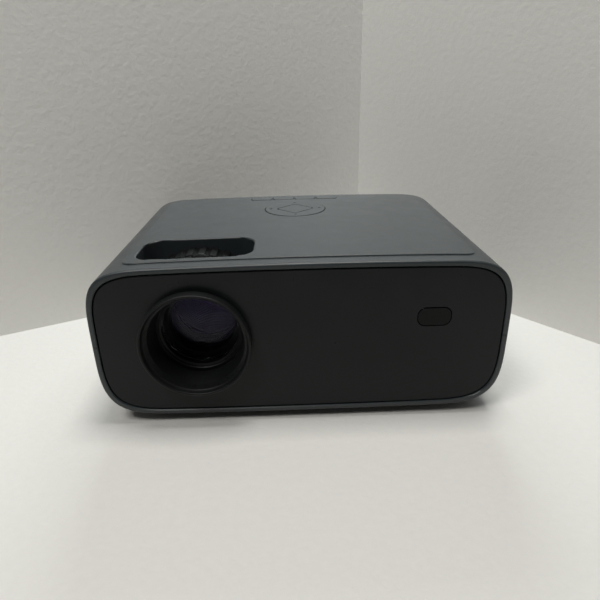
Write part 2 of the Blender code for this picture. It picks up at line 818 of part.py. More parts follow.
def panel(name, face, back, finish):
    """A front or rear panel: the casing's outline inside its wall and groove, with a soft outer edge."""
    inset = WALL + GROOVE
    direction = 1 if back > face else -1
    rings = []
    for depth, draw in ((face, PANEL_EDGE), (face + direction * PANEL_EDGE, 0.0), (back, 0.0)):
        rings.append([(x, depth, z) for x, z in whole_outline(inset + draw)])
    return lofted(name, rings, finish)


def signal_place():
    """The middle of the remote-control window in the front panel."""
    return (RIGHT_X - SIGNAL_SIDE, MID_Z + SIGNAL_RISE)


def make_front_panel(finish):
    """Front panel with the lens opening and the remote-control window's opening."""
    front = panel("front_panel", PANEL_FRONT, PANEL_BACK, finish)
    hole = circle(bezel_sleeve_radius() + GAP, (LENS_X, LENS_Z), FINE_STEPS)
    cut(front, extruded("lens_opening", hole, FRONT_Y - OVERRUN, PANEL_BACK + OVERRUN, "Y"))
    size = (SIGNAL_SIZE[0] + 2 * GAP, SIGNAL_SIZE[1] + 2 * GAP)
    window = rounded(*size, SIGNAL_CORNER + GAP, signal_place())
    cut(front, extruded("signal_opening", window, FRONT_Y - OVERRUN, PANEL_BACK + OVERRUN, "Y"))
    return front


def bezel_sleeve_radius():
    """The outer radius of the bezel's sleeve, which passes through the front panel."""
    return BEZEL_RADIUS - BEZEL_LIP - BEZEL_WALL / 2


def make_lens_bezel(finish):
    """The ring round the lens: a proud rolled lip, a funnel mouth and a sleeve through the panel."""
    lip = BEZEL_LIP
    front = -BEZEL_PROUD
    profile = []
    for step in range(LIP_STEPS + 1):
        turn = math.pi * step / LIP_STEPS
        radius = BEZEL_RADIUS - lip / 2 + lip / 2 * math.cos(turn)
        profile.append((radius, front + lip / 2 - lip / 2 * math.sin(turn)))
    sleeve = bezel_sleeve_radius()
    funnel_end = BEZEL_SLEEVE / 2
    profile += [(sleeve - BEZEL_WALL, 0.0), (BEZEL_BORE, funnel_end), (BEZEL_BORE, BEZEL_SLEEVE)]
    profile += [(sleeve, BEZEL_SLEEVE), (sleeve, 0.0), (BEZEL_RADIUS, 0.0)]
    centre = (LENS_X, FRONT_Y, LENS_Z)
    return turned("lens_bezel", profile, centre, (0.0, 1.0, 0.0), FINE_STEPS, finish)


def lens_centre(depth):
    """A point on the lens axis."""
    return (LENS_X, depth, LENS_Z)


def make_lens_mount(finish):
    """The fixed tube that guides the barrel and carries both rings, with its flange on the engine."""
    length = ENGINE_FRONT - GAP - MOUNT_FRONT
    profile = [(MOUNT_RADIUS, 0.0), (MOUNT_RADIUS, length), (MOUNT_BORE, length), (MOUNT_BORE, 0.0)]
    mount = turned("lens_mount", profile, lens_centre(MOUNT_FRONT), (0.0, 1.0, 0.0), ROUND_STEPS, finish)
    size = 2 * engine_half_width()
    corner = MOUNT_WALL
    flange = rounded(size, ENGINE_HEIGHT, corner, (LENS_X, LENS_Z), 2)
    low = ENGINE_FRONT - GAP - MOUNT_FLANGE
    fuse(mount, extruded("mount_flange", flange, low, ENGINE_FRONT - GAP, "Y"))
    bore = circle(MOUNT_BORE, (LENS_X, LENS_Z), ROUND_STEPS)
    cut(mount, extruded("mount_bore", bore, low - OVERRUN, ENGINE_FRONT + OVERRUN, "Y"))
    return mount


def glass(name, radius, thickness, bulge, front, finish, hollow=0.0):
    """A round lens element: a domed front and a back that is domed or, with hollow, dished."""
    edge = thickness - bulge - max(-hollow, 0.0)
    curve_radius = (radius**2 + bulge**2) / (2 * bulge)
    profile = []
    for step in range(BULGE_STEPS + 1):
        across = radius * step / BULGE_STEPS
        profile.append((across, curve_radius - math.sqrt(curve_radius**2 - across**2)))
    profile.append((radius, bulge + edge))
    for step in range(BULGE_STEPS - 1, -1, -1):
        share = step / BULGE_STEPS
        profile.append((radius * share, bulge + edge - hollow * (1 - share**2)))
    return turned(name, profile, lens_centre(front), (0.0, 1.0, 0.0), ROUND_STEPS, finish)


def make_lens_group(barrel_finish, glass_finish):
    """The focusing barrel and the three elements that ride in it."""
    outer = BARREL_RADIUS
    wide = outer - BARREL_WALL
    narrow = wide - BARREL_STEP
    profile = [(outer, 0.0), (outer, BARREL_LENGTH), (narrow, BARREL_LENGTH)]
    profile += [(narrow, FRONT_GLASS_SEAT), (wide, FRONT_GLASS_SEAT), (wide, 0.0)]
    centre = lens_centre(BARREL_FRONT)
    turned("lens_barrel", profile, centre, (0.0, 1.0, 0.0), ROUND_STEPS, barrel_finish)
    start = BARREL_FRONT + GLASS_SPACE
    glass("front_lens", wide - GAP, FRONT_GLASS, FRONT_BULGE, start, glass_finish, GLASS_SPACE / 2)
    start = BARREL_FRONT + FRONT_GLASS_SEAT + GLASS_SPACE
    glass("middle_lens", narrow - GAP, INNER_GLASS, INNER_BULGE, start, glass_finish)
    start = BARREL_FRONT + BARREL_LENGTH - INNER_GLASS - GLASS_SPACE
    glass("rear_lens", narrow - GAP, INNER_GLASS, INNER_BULGE, start, glass_finish)


def adjuster_ring(name, front, finish):
    """A ribbed ring that turns on the lens mount. A rib is a land and a valley round its rim."""
    points = []
    inner = MOUNT_RADIUS + GAP
    turn = 2 * math.pi / RIB_COUNT
    offsets = (0.0, RIB_LAND_SHARE, (1 + RIB_LAND_SHARE) / 2)
    radii = (RING_RADIUS, RING_RADIUS, RING_RADIUS - RIB_DEPTH)
    outer_line = []
    inner_line = []
    for rib in range(RIB_COUNT):
        for offset, radius in zip(offsets, radii):
            angle = (rib + offset) * turn
            outer_line.append((radius * math.cos(angle), radius * math.sin(angle)))
            inner_line.append((inner * math.cos(angle), inner * math.sin(angle)))
    count = len(outer_line)
    for line, depths in ((outer_line, (0.0, RING_WIDTH)), (inner_line, (RING_WIDTH, 0.0))):
        for depth in depths:
            points += [(a, b, depth) for a, b in line]
    faces = skin_faces(4, count)
    for step in range(count):
        after = (step + 1) % count
        faces.append((3 * count + step, 3 * count + after, after, step))
    return solid(name, points, faces, finish, facing((0.0, 1.0, 0.0), lens_centre(front)))


def make_rings(finish):
    """Focus ring in front with its rounded finger nub, keystone ring behind."""
    front = WINDOW_FRONT + RING_END_GAP
    focus = adjuster_ring("focus_ring", front, finish)
    middle = front + RING_WIDTH / 2
    root = RING_RADIUS - 2 * RIB_DEPTH
    shoulder = RING_RADIUS + NUB_RISE / 2
    profile = [(0.0, root), (NUB_RADIUS, root)]
    for step in range(ARC_STEPS + 1):
        turn = math.pi / 2 * step / ARC_STEPS
        profile.append((NUB_RADIUS * math.cos(turn), shoulder + NUB_RISE / 2 * math.sin(turn)))
    profile[-1] = (0.0, RING_RADIUS + NUB_RISE)
    up = (math.sin(NUB_TURN), 0.0, math.cos(NUB_TURN))
    fuse(focus, turned("focus_nub", profile, lens_centre(middle), up, SMALL_STEPS))
    adjuster_ring("keystone_ring", front + RING_WIDTH + RING_SPACING, finish)


def engine_half_width():
    """Half the light engine's width, between the lens axis and the exhaust fan's inner face."""
    return LENS_X + fan_outer_face() - FAN_THICK - ENGINE_SIDE_GAP


def fan_outer_face():
    """How far out a fan's outer face lies, just inside the side wall at the fan's corners."""
    return side_x(FAN_SIZE / 2, WALL) - SIDE_WALL_GAP


def engine_span(share):
    """A place along the light engine, as a share of its length."""
    return ENGINE_FRONT + (ENGINE_BACK - ENGINE_FRONT) * share


def make_engine(finish, sheet_finish, frame_finish, lcd_finish):
    """Light engine: a duct with legs, two Fresnel sheets, the tilting display frame and its panel."""
    half = engine_half_width()
    outer = box_outline(2 * half, ENGINE_HEIGHT, (LENS_X, LENS_Z))
    duct = extruded("engine_housing", outer, ENGINE_FRONT, ENGINE_BACK, "Y", finish)
    leg_low = FLOOR_Z + LOW_CROWN + GAP
    for number, side in enumerate((-1, 1)):
        x = LENS_X + side * (half - LEG_INSET)
        leg_end = max(leg_low, floor_z(abs(x) + LEG_WIDTH / 2, WALL) + GAP)
        low = (x - LEG_WIDTH / 2, ENGINE_FRONT + LEG_INSET, leg_end)
        high = (x + LEG_WIDTH / 2, ENGINE_BACK - LEG_INSET, LENS_Z - ENGINE_HEIGHT / 2 + ENGINE_WALL / 2)
        fuse(duct, block(f"engine_leg_{number}", low, high))
    inner_size = (2 * (half - ENGINE_WALL), ENGINE_HEIGHT - 2 * ENGINE_WALL)
    inner = box_outline(*inner_size, (LENS_X, LENS_Z))
    cut(duct, extruded("engine_bore", inner, ENGINE_FRONT - OVERRUN, ENGINE_BACK + OVERRUN, "Y"))
    pivot_y = engine_span(LCD_SHARE)
    pin_hole = circle(PIVOT_PIN + GAP, (pivot_y, LENS_Z))
    reach = half + OVERRUN
    cut(duct, extruded("pivot_holes", pin_hole, LENS_X - reach, LENS_X + reach, "X"))
    sheet = box_outline(inner_size[0] - 2 * GAP, inner_size[1] - 2 * GAP, (LENS_X, LENS_Z))
    for name, share in (("front_fresnel", FRONT_SHEET_SHARE), ("rear_fresnel", REAR_SHEET_SHARE)):
        start = engine_span(share) - SHEET_THICK / 2
        extruded(name, sheet, start, start + SHEET_THICK, "Y", sheet_finish)
    frame_size = (inner_size[0] - 2 * FRAME_SIDE_GAP, inner_size[1] - 2 * FRAME_BORDER)
    frame_outline = rounded(*frame_size, FRAME_SIDE_GAP, steps=2)
    place = Matrix.Translation((LENS_X, pivot_y, LENS_Z))
    half_thick = FRAME_THICK / 2
    frame = extruded("lcd_frame", frame_outline, -half_thick, half_thick, "Y", frame_finish, place=place)
    pins = extruded("pivot_pins", circle(PIVOT_PIN), -half, half, "X", place=place)
    fuse(frame, pins)
    opening = (frame_size[0] - 2 * FRAME_BORDER, frame_size[1] - 2 * FRAME_BORDER)
    hole = box_outline(*opening)
    cut(frame, extruded("frame_opening", hole, -FRAME_THICK, FRAME_THICK, "Y", place=place))
    panel_size = (opening[0] + FRAME_BORDER, opening[1] + FRAME_BORDER)
    pocket = box_outline(panel_size[0] + 2 * GAP, panel_size[1] + 2 * GAP)
    floor = FRAME_THICK / 2 - PANEL_GLASS - GAP
    cut(frame, extruded("panel_pocket", pocket, floor, FRAME_THICK, "Y", place=place))
    lcd = box_outline(*panel_size)
    extruded("lcd_panel", lcd, floor + GAP, floor + GAP + PANEL_GLASS, "Y", lcd_finish, place=place)


def make_light_source(glass_finish, board_finish, metal):
    """Condenser lens, the LED on its board, and the finned heat sink behind it."""
    profile = [(0.0, 0.0)]
    rim = engine_half_width() - ENGINE_WALL - CONDENSER_MARGIN
    back = CONDENSER_THICK
    rise = CONDENSER_THICK - CONDENSER_EDGE
    curve = (rim**2 + rise**2) / (2 * rise)
    for step in range(1, BULGE_STEPS + 1):
        across = rim * step / BULGE_STEPS
        profile.append((across, curve - math.sqrt(curve**2 - across**2)))
    profile += [(rim, back), (0.0, back)]
    clip = engine_half_width() - ENGINE_WALL - GAP
    start = LED_FRONT - LED_CHIP_THICK - GAP - back
    centre = lens_centre(start)
    condenser = turned("condenser_lens", profile, centre, (0.0, 1.0, 0.0), ROUND_STEPS, glass_finish)
    holder_size = (2 * clip, ENGINE_HEIGHT - 2 * ENGINE_WALL - 2 * GAP)
    holder = box_outline(*holder_size, (LENS_X, LENS_Z))
    fuse(condenser, extruded("condenser_plate", holder, start + back - CONDENSER_EDGE, start + back, "Y"))
    board_size = 2 * (engine_half_width() - LED_BOARD_MARGIN)
    plate = box_outline(board_size, board_size, (LENS_X, LENS_Z))
    board = extruded("led_board", plate, LED_FRONT, LED_FRONT + LED_BOARD_THICK, "Y", board_finish)
    chip = box_outline(LED_CHIP_SIZE, LED_CHIP_SIZE, (LENS_X, LENS_Z))
    fuse(board, extruded("led_chip", chip, LED_FRONT - LED_CHIP_THICK, LED_FRONT + LED_BOARD_THICK / 2, "Y"))
    width = 2 * engine_half_width() - SINK_MARGIN
    pitch = (width - SINK_FIN) / (SINK_FINS - 1)
    low = LENS_X - width / 2
    comb = [(low, SINK_FRONT), (low + width, SINK_FRONT)]
    for fin in range(SINK_FINS - 1, -1, -1):
        right = low + pitch * fin + SINK_FIN
        comb += [(right, SINK_BACK), (right - SINK_FIN, SINK_BACK)]
        if fin:
            comb += [(right - SINK_FIN, SINK_FRONT + SINK_BASE), (right - pitch, SINK_FRONT + SINK_BASE)]
    half = ENGINE_HEIGHT / 2
    extruded("heatsink", comb, LENS_Z - half, LENS_Z + half, "Z", metal)


def make_fan(name, side, middle_y, frame_finish, rotor_finish):
    """An axial fan against a side wall: a square frame with struts, and a rotor with twisted blades."""
    outer = fan_outer_face()
    low, high = sorted((side * outer, side * (outer - FAN_THICK)))
    inner_face = side * (outer - FAN_THICK)
    frame_outline = rounded(FAN_SIZE, FAN_SIZE, FAN_CORNER, (middle_y, MID_Z), 2)
    frame = extruded(name + "_frame", frame_outline, low, high, "X", frame_finish)
    bore = circle(FAN_BORE, (middle_y, MID_Z), ROUND_STEPS)
    cut(frame, extruded(name + "_bore", bore, low - OVERRUN, high + OVERRUN, "X"))
    bar_low, bar_high = sorted((inner_face, inner_face + side * FAN_STRUT / 2))
    span = FAN_SIZE - FAN_CORNER
    for word, across, tall in (("flat", span, FAN_STRUT), ("tall", FAN_STRUT, span)):
        strut = box_outline(across, tall, (middle_y, MID_Z))
        fuse(frame, extruded(f"{name}_{word}_strut", strut, bar_low, bar_high, "X"))
    seat = circle(FAN_HUB, (middle_y, MID_Z), SMALL_STEPS)
    fuse(frame, extruded(name + "_motor_seat", seat, bar_low, bar_high, "X"))
    start = FAN_STRUT / 2 + RUN_GAP
    depth = FAN_THICK - start - RUN_GAP
    profile = [(0.0, start), (FAN_HUB, start), (FAN_HUB, start + depth * HUB_SHARE)]
    profile += [(FAN_HUB - FAN_STRUT / 2, start + depth), (0.0, start + depth)]
    centre = (inner_face, middle_y, MID_Z)
    axis = (float(side), 0.0, 0.0)
    rotor = turned(name + "_rotor", profile, centre, axis, SMALL_STEPS, rotor_finish)
    fuse(rotor, fan_blades(name, start, depth, facing(axis, centre)))


def fan_blades(name, start, depth, place):
    """All the blades of a rotor: thin plates, pitched less towards their tips."""
    points = []
    faces = []
    tip = FAN_BORE * BLADE_TIP_SHARE
    middle = start + depth / 2
    for blade in range(FAN_BLADES):
        turn = 2 * math.pi * blade / FAN_BLADES
        first = len(points)
        for radius in (FAN_HUB - ROOT, (FAN_HUB + tip) / 2, tip):
            pitch = BLADE_PITCH * FAN_HUB / radius + BLADE_PITCH / 2
            chord = depth / 2 * (1 - ROOT / depth) / max(math.sin(pitch), math.cos(BLADE_PITCH))
            for along_chord, side in ((-1, -1), (1, -1), (1, 1), (-1, 1)):
                swing = along_chord * chord * math.cos(pitch) / radius + turn
                lift = along_chord * chord * math.sin(pitch) + side * BLADE_THICK / 2
                lift = max(min(lift, depth / 2), -depth / 2)
                points.append((radius * math.cos(swing), radius * math.sin(swing), middle + lift))
        faces += [tuple(first + corner for corner in face) for face in skin_faces(3, 4)]
        faces.append(tuple(first + corner for corner in range(4)))
        faces.append(tuple(first + corner for corner in range(8, 12)))
    return solid(name + "_blades", points, faces, None, place)


def diamond(half, corner):
    """A square stood on its corner, with round corners."""
    side = half * math.sqrt(2)
    outline = rounded(side, side, corner, steps=2)
    return [((a - b) / math.sqrt(2), (a + b) / math.sqrt(2)) for a, b in outline]


def make_keys(finish, rubber, board_finish):
    """Round key pad with its pivot plate and centre key, four row keys, and the board under them."""
    low = key_floor()
    high = low + KEY_THICK
    pad_place = Matrix.Translation((0.0, NAV_Y, low))
    disc = circle(NAV_RADIUS, steps=ROUND_STEPS)
    pad = extruded("nav_ring", disc, 0.0, KEY_THICK, "Z", finish, KEY_EDGE, pad_place)
    hole = diamond(OK_HALF_DIAGONAL + KEY_GAP, OK_CORNER + KEY_GAP)
    cut(pad, extruded("ok_opening", hole, -OVERRUN, KEY_THICK + OVERRUN, "Z", place=pad_place))
    key_outline = diamond(OK_HALF_DIAGONAL, OK_CORNER)
    centre = extruded("key_ok", key_outline, KEY_TRAVEL, KEY_THICK, "Z", finish, KEY_EDGE, pad_place)
    stem = extruded("ok_stem", circle(STEM_RADIUS), -STEM_LENGTH, KEY_TRAVEL + ROOT, "Z", place=pad_place)
    fuse(centre, stem)
    pivot_high = -GAP
    pivot_low = pivot_high - PIVOT_THICK
    plate = circle(PIVOT_RADIUS, steps=ROUND_STEPS)
    pivot = extruded("nav_pivot", plate, pivot_low, pivot_high, "Z", rubber, place=pad_place)
    for number, (a, b) in enumerate(((1, 0), (0, 1), (-1, 0), (0, -1))):
        spot = (a * nub_reach(), b * nub_reach())
        high = pivot_high - PIVOT_THICK / 2
        nub_outline = circle(STEM_RADIUS, spot)
        nub = extruded(f"pivot_nub_{number}", nub_outline, -STEM_LENGTH, high, "Z", place=pad_place)
        fuse(pivot, nub)
    bore = circle(STEM_RADIUS + RUN_GAP)
    bore_ends = (pivot_low - OVERRUN, pivot_high + OVERRUN)
    cut(pivot, extruded("pivot_bore", bore, *bore_ends, "Z", place=pad_place))
    for name, (x, y) in zip(ROW_KEY_NAMES, row_places()):
        place = Matrix.Translation((x, y, low))
        cap_outline = rounded(ROW_KEY_LENGTH, ROW_KEY_WIDTH, ROW_KEY_CORNER, steps=2)
        cap = extruded(name, cap_outline, 0.0, KEY_THICK, "Z", finish, KEY_EDGE, place)
        fuse(cap, extruded(name + "_stem", circle(STEM_RADIUS), -STEM_LENGTH, ROOT, "Z", place=place))
    make_key_board(board_finish)


def make_key_board(finish):
    """Board under the keys, with a small switch below each stem."""
    low, high = key_board_corners()
    top = key_board_top()
    board = block("key_board", (*low, top - BOARD_THICK), (*high, top), finish)
    reach = nub_reach()
    spots = [(0.0, NAV_Y), (reach, NAV_Y), (-reach, NAV_Y), (0.0, NAV_Y + reach), (0.0, NAV_Y - reach)]
    for number, spot in enumerate(spots + row_places()):
        switch = box_outline(SWITCH_SIZE, min(SWITCH_SIZE, ROW_KEY_WIDTH), spot)
        fuse(board, extruded(f"switch_{number}", switch, top - BOARD_THICK / 2, top + SWITCH_HEIGHT, "Z"))


def make_feet(rubber, metal, plastic):
    """Four rubber feet in their seats, and the screw-out tilt foot with its knurled knob."""
    height = foot_top()
    for name, (x, y) in zip(FOOT_NAMES, foot_places()):
        profile = [(0.0, 0.0), (FOOT_RADIUS - FOOT_ROUND, 0.0), (FOOT_RADIUS, FOOT_ROUND)]
        profile += [(FOOT_RADIUS, height), (0.0, height)]
        turned(name, profile, (x, y, 0.0), steps=ROUND_STEPS, finish=rubber)
    x, y = tilt_place()
    knob_low = TILT_LIFT
    knob_high = knob_low + TILT_KNOB
    outline = []
    for grip in range(TILT_GRIPS * 2):
        radius = TILT_RADIUS - (grip % 2) * TILT_GRIP_DEPTH
        angle = math.pi * grip / TILT_GRIPS
        outline.append((radius * math.cos(angle), radius * math.sin(angle)))
    place = Matrix.Translation((x, y, 0.0))
    knob = extruded("tilt_knob", outline, knob_low, knob_high, "Z", plastic, place=place)
    socket = circle(STUD_RADIUS + GAP)
    ends = (knob_low + TILT_KNOB / 2, knob_high + OVERRUN)
    cut(knob, extruded("knob_socket", socket, *ends, "Z", place=place))
    stud_low = knob_low + TILT_KNOB / 2 + GAP
    stud_high = LOW_Z + TILT_LIFT + STUD_LENGTH - RUN_GAP
    tip = STUD_RADIUS - FOOT_ROUND
    profile = [(0.0, stud_low), (STUD_RADIUS, stud_low), (STUD_RADIUS, stud_high - FOOT_ROUND)]
    profile += [(tip, stud_high), (0.0, stud_high)]
    turned("tilt_stud", profile, (x, y, 0.0), steps=SMALL_STEPS, finish=metal)


def make_screws(metal):
    """Case screws in their deep wells, with a socket in each head."""
    for number, (x, y) in enumerate(post_places()):
        seat = screw_seat() - GAP
        under = seat - SCREW_HEAD_THICK
        tip = seat + SCREW_LENGTH - GAP
        profile = [(0.0, under + RECESS_DEPTH), (RECESS_RADIUS, under + RECESS_DEPTH), (RECESS_RADIUS, under)]
        profile += [(SCREW_HEAD - GAP, under), (SCREW_HEAD, under + GAP), (SCREW_HEAD, seat)]
        profile += [(SCREW_RADIUS, seat), (SCREW_RADIUS, tip - SCREW_RADIUS), (0.0, tip)]
        turned(f"case_screw_{number + 1}", profile, (x, y, 0.0), steps=SMALL_STEPS // 2, finish=metal)


def socket_place(size):
    """Lowest and highest places of a socket along the depth, and its base height."""
    back = REAR_FACE - SOCKET_SETBACK
    return back - size[1], back, board_level() + GAP


def board_level():
    """The height of the main and power boards' upper faces."""
    return FLOOR_Z + BOARD_LIFT + BOARD_THICK


def port_places():
    """Middles of the sound jack, video, data and card sockets, which share the board's rear edge."""
    low, high = board_areas()[1]
    widths = (2 * JACK_RADIUS, HDMI_SIZE[0], USB_SIZE[0], CARD_SIZE[0])
    spare = high[0] - low[0] - sum(widths)
    places = []
    edge = low[0]
    for share, width in zip(PORT_ROOM_SHARES, widths):
        edge += spare * share + width
        places.append(edge - width / 2)
    return places


def inlet_place():
    """The middle of the power inlet, in X and Z."""
    return (RIGHT_X - INLET_SIDE, MID_Z + INLET_RISE)


def port_openings():
    """Middle, width and height of each socket's hole in the rear panel."""
    holes = []
    for x, size in zip(port_places()[1:], (HDMI_SIZE, USB_SIZE, CARD_SIZE)):
        base = socket_place(size)[2]
        holes.append(((x, base + size[2] / 2), size[0] + 2 * GAP, size[2] + 2 * GAP))
    return holes


def make_socket(name, x, size, finish):
    """A metal-shelled socket: an open mouth with a tongue inside it."""
    front, back, base = socket_place(size)
    middle = (x, base + size[2] / 2)
    body = extruded(name, box_outline(size[0], size[2], middle), front, back, "Y", finish)
    mouth = box_outline(size[0] - 2 * SOCKET_WALL, size[2] - 2 * SOCKET_WALL, middle)
    cut(body, extruded(name + "_mouth", mouth, front + TONGUE_THICK, back + OVERRUN, "Y"))
    if size[2] > 2 * TONGUE_THICK + 2 * SOCKET_WALL:
        tongue = box_outline(size[0] - 2 * TONGUE_THICK, TONGUE_THICK, middle)
        fuse(body, extruded(name + "_tongue", tongue, front + TONGUE_THICK / 2, back - TONGUE_THICK, "Y"))
    return body


def make_rear_panel(finish):
    """Rear panel with its vents and the openings for the sockets and the power inlet."""
    rear = panel("rear_panel", REAR_FACE, REAR_INNER, finish)
    low = REAR_INNER - OVERRUN
    high = BACK_Y + OVERRUN
    for number, (middle, width, height) in enumerate(port_openings()):
        cut(rear, extruded(f"port_{number}", box_outline(width, height, middle), low, high, "Y"))
    base = board_level() + GAP
    jack_place = (port_places()[0], base + JACK_RADIUS)
    cut(rear, rod("jack_port", JACK_RADIUS + GAP, low, high, jack_place, axis="Y"))
    size = (INLET_SIZE[0] + 2 * GAP, INLET_SIZE[2] + 2 * GAP)
    inlet = rounded(*size, SOCKET_WALL + GAP, inlet_place(), 1)
    cut(rear, extruded("inlet_port", inlet, low, high, "Y"))
    first = LENS_X - VENT_PITCH * (REAR_VENT_COUNT - 1) / 2
    places = [(first + VENT_PITCH * step, LENS_Z) for step in range(REAR_VENT_COUNT)]
    cut(rear, slots("rear_vents", places, VENT_WIDTH, REAR_VENT_HEIGHT, low, high, "Y"))
    return rear


def make_sockets(metal, plastic):
    """Sockets on the main board's rear edge, and the power inlet in the rear panel."""
    jack_x, hdmi_x, usb_x, card_x = port_places()
    make_socket("hdmi_socket", hdmi_x, HDMI_SIZE, metal)
    make_socket("usb_socket", usb_x, USB_SIZE, metal)
    make_socket("card_slot", card_x, CARD_SIZE, metal)
    back = REAR_FACE - SOCKET_SETBACK
    base = board_level() + GAP
    centre = (jack_x, back, base + JACK_RADIUS)
    bottom = JACK_LENGTH - TONGUE_THICK
    profile = [(JACK_RADIUS, 0.0), (JACK_RADIUS, JACK_LENGTH), (0.0, JACK_LENGTH)]
    profile += [(0.0, bottom), (JACK_BORE, bottom), (JACK_BORE, 0.0)]
    turned("av_jack", profile, centre, (0.0, -1.0, 0.0), SMALL_STEPS, plastic)
    middle = inlet_place()
    body_outline = rounded(INLET_SIZE[0], INLET_SIZE[2], SOCKET_WALL, middle, 1)
    inlet = extruded("power_inlet", body_outline, back - INLET_SIZE[1], back, "Y", plastic)
    mouth = rounded(*INLET_MOUTH, INLET_CORNER, middle)
    cut(inlet, extruded("inlet_mouth", mouth, back - INLET_DEPTH, back + OVERRUN, "Y"))
    for number, side in enumerate((-1, 1)):
        spot = (middle[0] + side * INLET_PIN_SPACING / 2, middle[1])
        ends = (back - INLET_DEPTH - ROOT, back - OVERRUN)
        pin = rod(f"inlet_pin_{number}", INLET_PIN, *ends, spot, axis="Y", steps=SMALL_STEPS // 2)
        fuse(inlet, pin)


def make_boards(finish, core_finish, can_finish):
    """Main board and power board on their standoffs, with the transformer and the large capacitor."""
    power, main = board_areas()
    top = board_level()
    for name, (low, high) in (("power_board", power), ("main_board", main)):
        board = block(name, (*low, top - BOARD_THICK), (*high, top), finish)
        for number, place in enumerate(standoff_places((low, high))):
            ends = (top - 2 * BOARD_THICK, top + OVERRUN)
            cut(board, rod(f"{name}_hole_{number}", HOLE_RADIUS, *ends, place, steps=SMALL_STEPS // 2))
    width, depth, height = TRANSFORMER_SIZE
    x = power[1][0] - width
    y = power[1][1] - depth
    base = top + GAP
    low = (x - width / 2, y - depth / 2, base)
    high = (x + width / 2, y + depth / 2, base + TRANSFORMER_CORE)
    core = block("transformer", low, high, core_finish)
    bobbin = rounded(width - TRANSFORMER_CORE, depth - TRANSFORMER_CORE, TRANSFORMER_CORE / 2, (x, y), 2)
    fuse(core, extruded("transformer_bobbin", bobbin, base + ROOT, base + height - ROOT, "Z"))
    cap_low = (x - width / 2, y - depth / 2, base + height - TRANSFORMER_CORE)
    fuse(core, block("transformer_cap", cap_low, (x + width / 2, y + depth / 2, base + height)))
    radius = CAPACITOR_RADIUS
    crimp = radius - CAPACITOR_CRIMP
    length = CAPACITOR_LENGTH
    profile = [(0.0, 0.0), (radius, 0.0), (radius, length * CRIMP_LOW_SHARE)]
    profile += [(crimp, length * CRIMP_MIDDLE_SHARE), (radius, length * CRIMP_HIGH_SHARE)]
    profile += [(radius, length), (0.0, length)]
    centre = (power[0][0] + 2 * radius, power[0][1] + CAPACITOR_LENGTH / 2, base + radius)
    turned("capacitor", profile, centre, (1.0, 0.0, 0.0), SMALL_STEPS, can_finish)


def make_speaker(frame_finish, cone_finish):
    """Speaker behind the right front slots: a square basket with a magnet, and its paper cone."""
    outer = side_x(SPEAKER_SIZE / 2, WALL) - SIDE_WALL_GAP
    middle_y = speaker_y()
    face = outer - SPEAKER_RIM
    outline = rounded(SPEAKER_SIZE, SPEAKER_SIZE, FAN_CORNER, (middle_y, MID_Z), 2)
    rim = extruded("speaker_frame", outline, face, outer, "X", frame_finish)
    profile = [(0.0, 0.0), (SPEAKER_MAGNET, 0.0), (SPEAKER_MAGNET, SPEAKER_DEPTH / 2)]
    profile += [(SPEAKER_CONE + SPEAKER_RIM / 2, SPEAKER_DEPTH + ROOT), (0.0, SPEAKER_DEPTH + ROOT)]
    centre = (face - SPEAKER_DEPTH, middle_y, MID_Z)
    fuse(rim, turned("speaker_basket", profile, centre, (1.0, 0.0, 0.0), ROUND_STEPS))
    reach = SPEAKER_DEPTH + SPEAKER_RIM + OVERRUN
    mouth = [(0.0, SPEAKER_DEPTH / 2), (SPEAKER_MAGNET / 2, SPEAKER_DEPTH / 2)]
    mouth += [(SPEAKER_CONE, reach), (0.0, reach)]
    cut(rim, turned("speaker_mouth", mouth, centre, (1.0, 0.0, 0.0), ROUND_STEPS))
    slope = (SPEAKER_CONE - SPEAKER_MAGNET / 2) / (reach - SPEAKER_DEPTH / 2)
    low = SPEAKER_DEPTH / 2 + GAP
    high = SPEAKER_DEPTH + SPEAKER_RIM / 2
    low_radius = SPEAKER_MAGNET / 2 - GAP
    high_radius = low_radius + slope * (high - low)
    cone = [(0.0, low), (low_radius, low), (high_radius, high), (high_radius - CONE_WALL, high + CONE_WALL)]
    cone += [(low_radius, low + 2 * CONE_WALL), (0.0, low + 2 * CONE_WALL)]
    turned("speaker_cone", cone, centre, (1.0, 0.0, 0.0), ROUND_STEPS, cone_finish)


def make_signal_window(window_finish, board_finish):
    """Remote-control window in the front panel, and the receiver on its small board behind it."""
    place = signal_place()
    outline = rounded(*SIGNAL_SIZE, SIGNAL_CORNER, place)
    extruded("signal_window", outline, PANEL_FRONT, PANEL_BACK + GAP, "Y", window_finish)
    start = PANEL_BACK + 2 * GAP
    board_front = start + SIGNAL_DOME_LENGTH
    plate = box_outline(SIGNAL_BOARD[0], SIGNAL_BOARD[2], place)
    board = extruded("signal_board", plate, board_front, board_front + SIGNAL_BOARD[1], "Y", board_finish)
    end = SIGNAL_DOME_LENGTH + ROOT
    profile = [(0.0, 0.0), (SIGNAL_DOME / 2, 0.0), (SIGNAL_DOME, SIGNAL_DOME / 2)]
    profile += [(SIGNAL_DOME, end), (0.0, end)]
    dome = turned("signal_dome", profile, (place[0], start, place[1]), (0.0, 1.0, 0.0), SMALL_STEPS)
    fuse(board, dome)


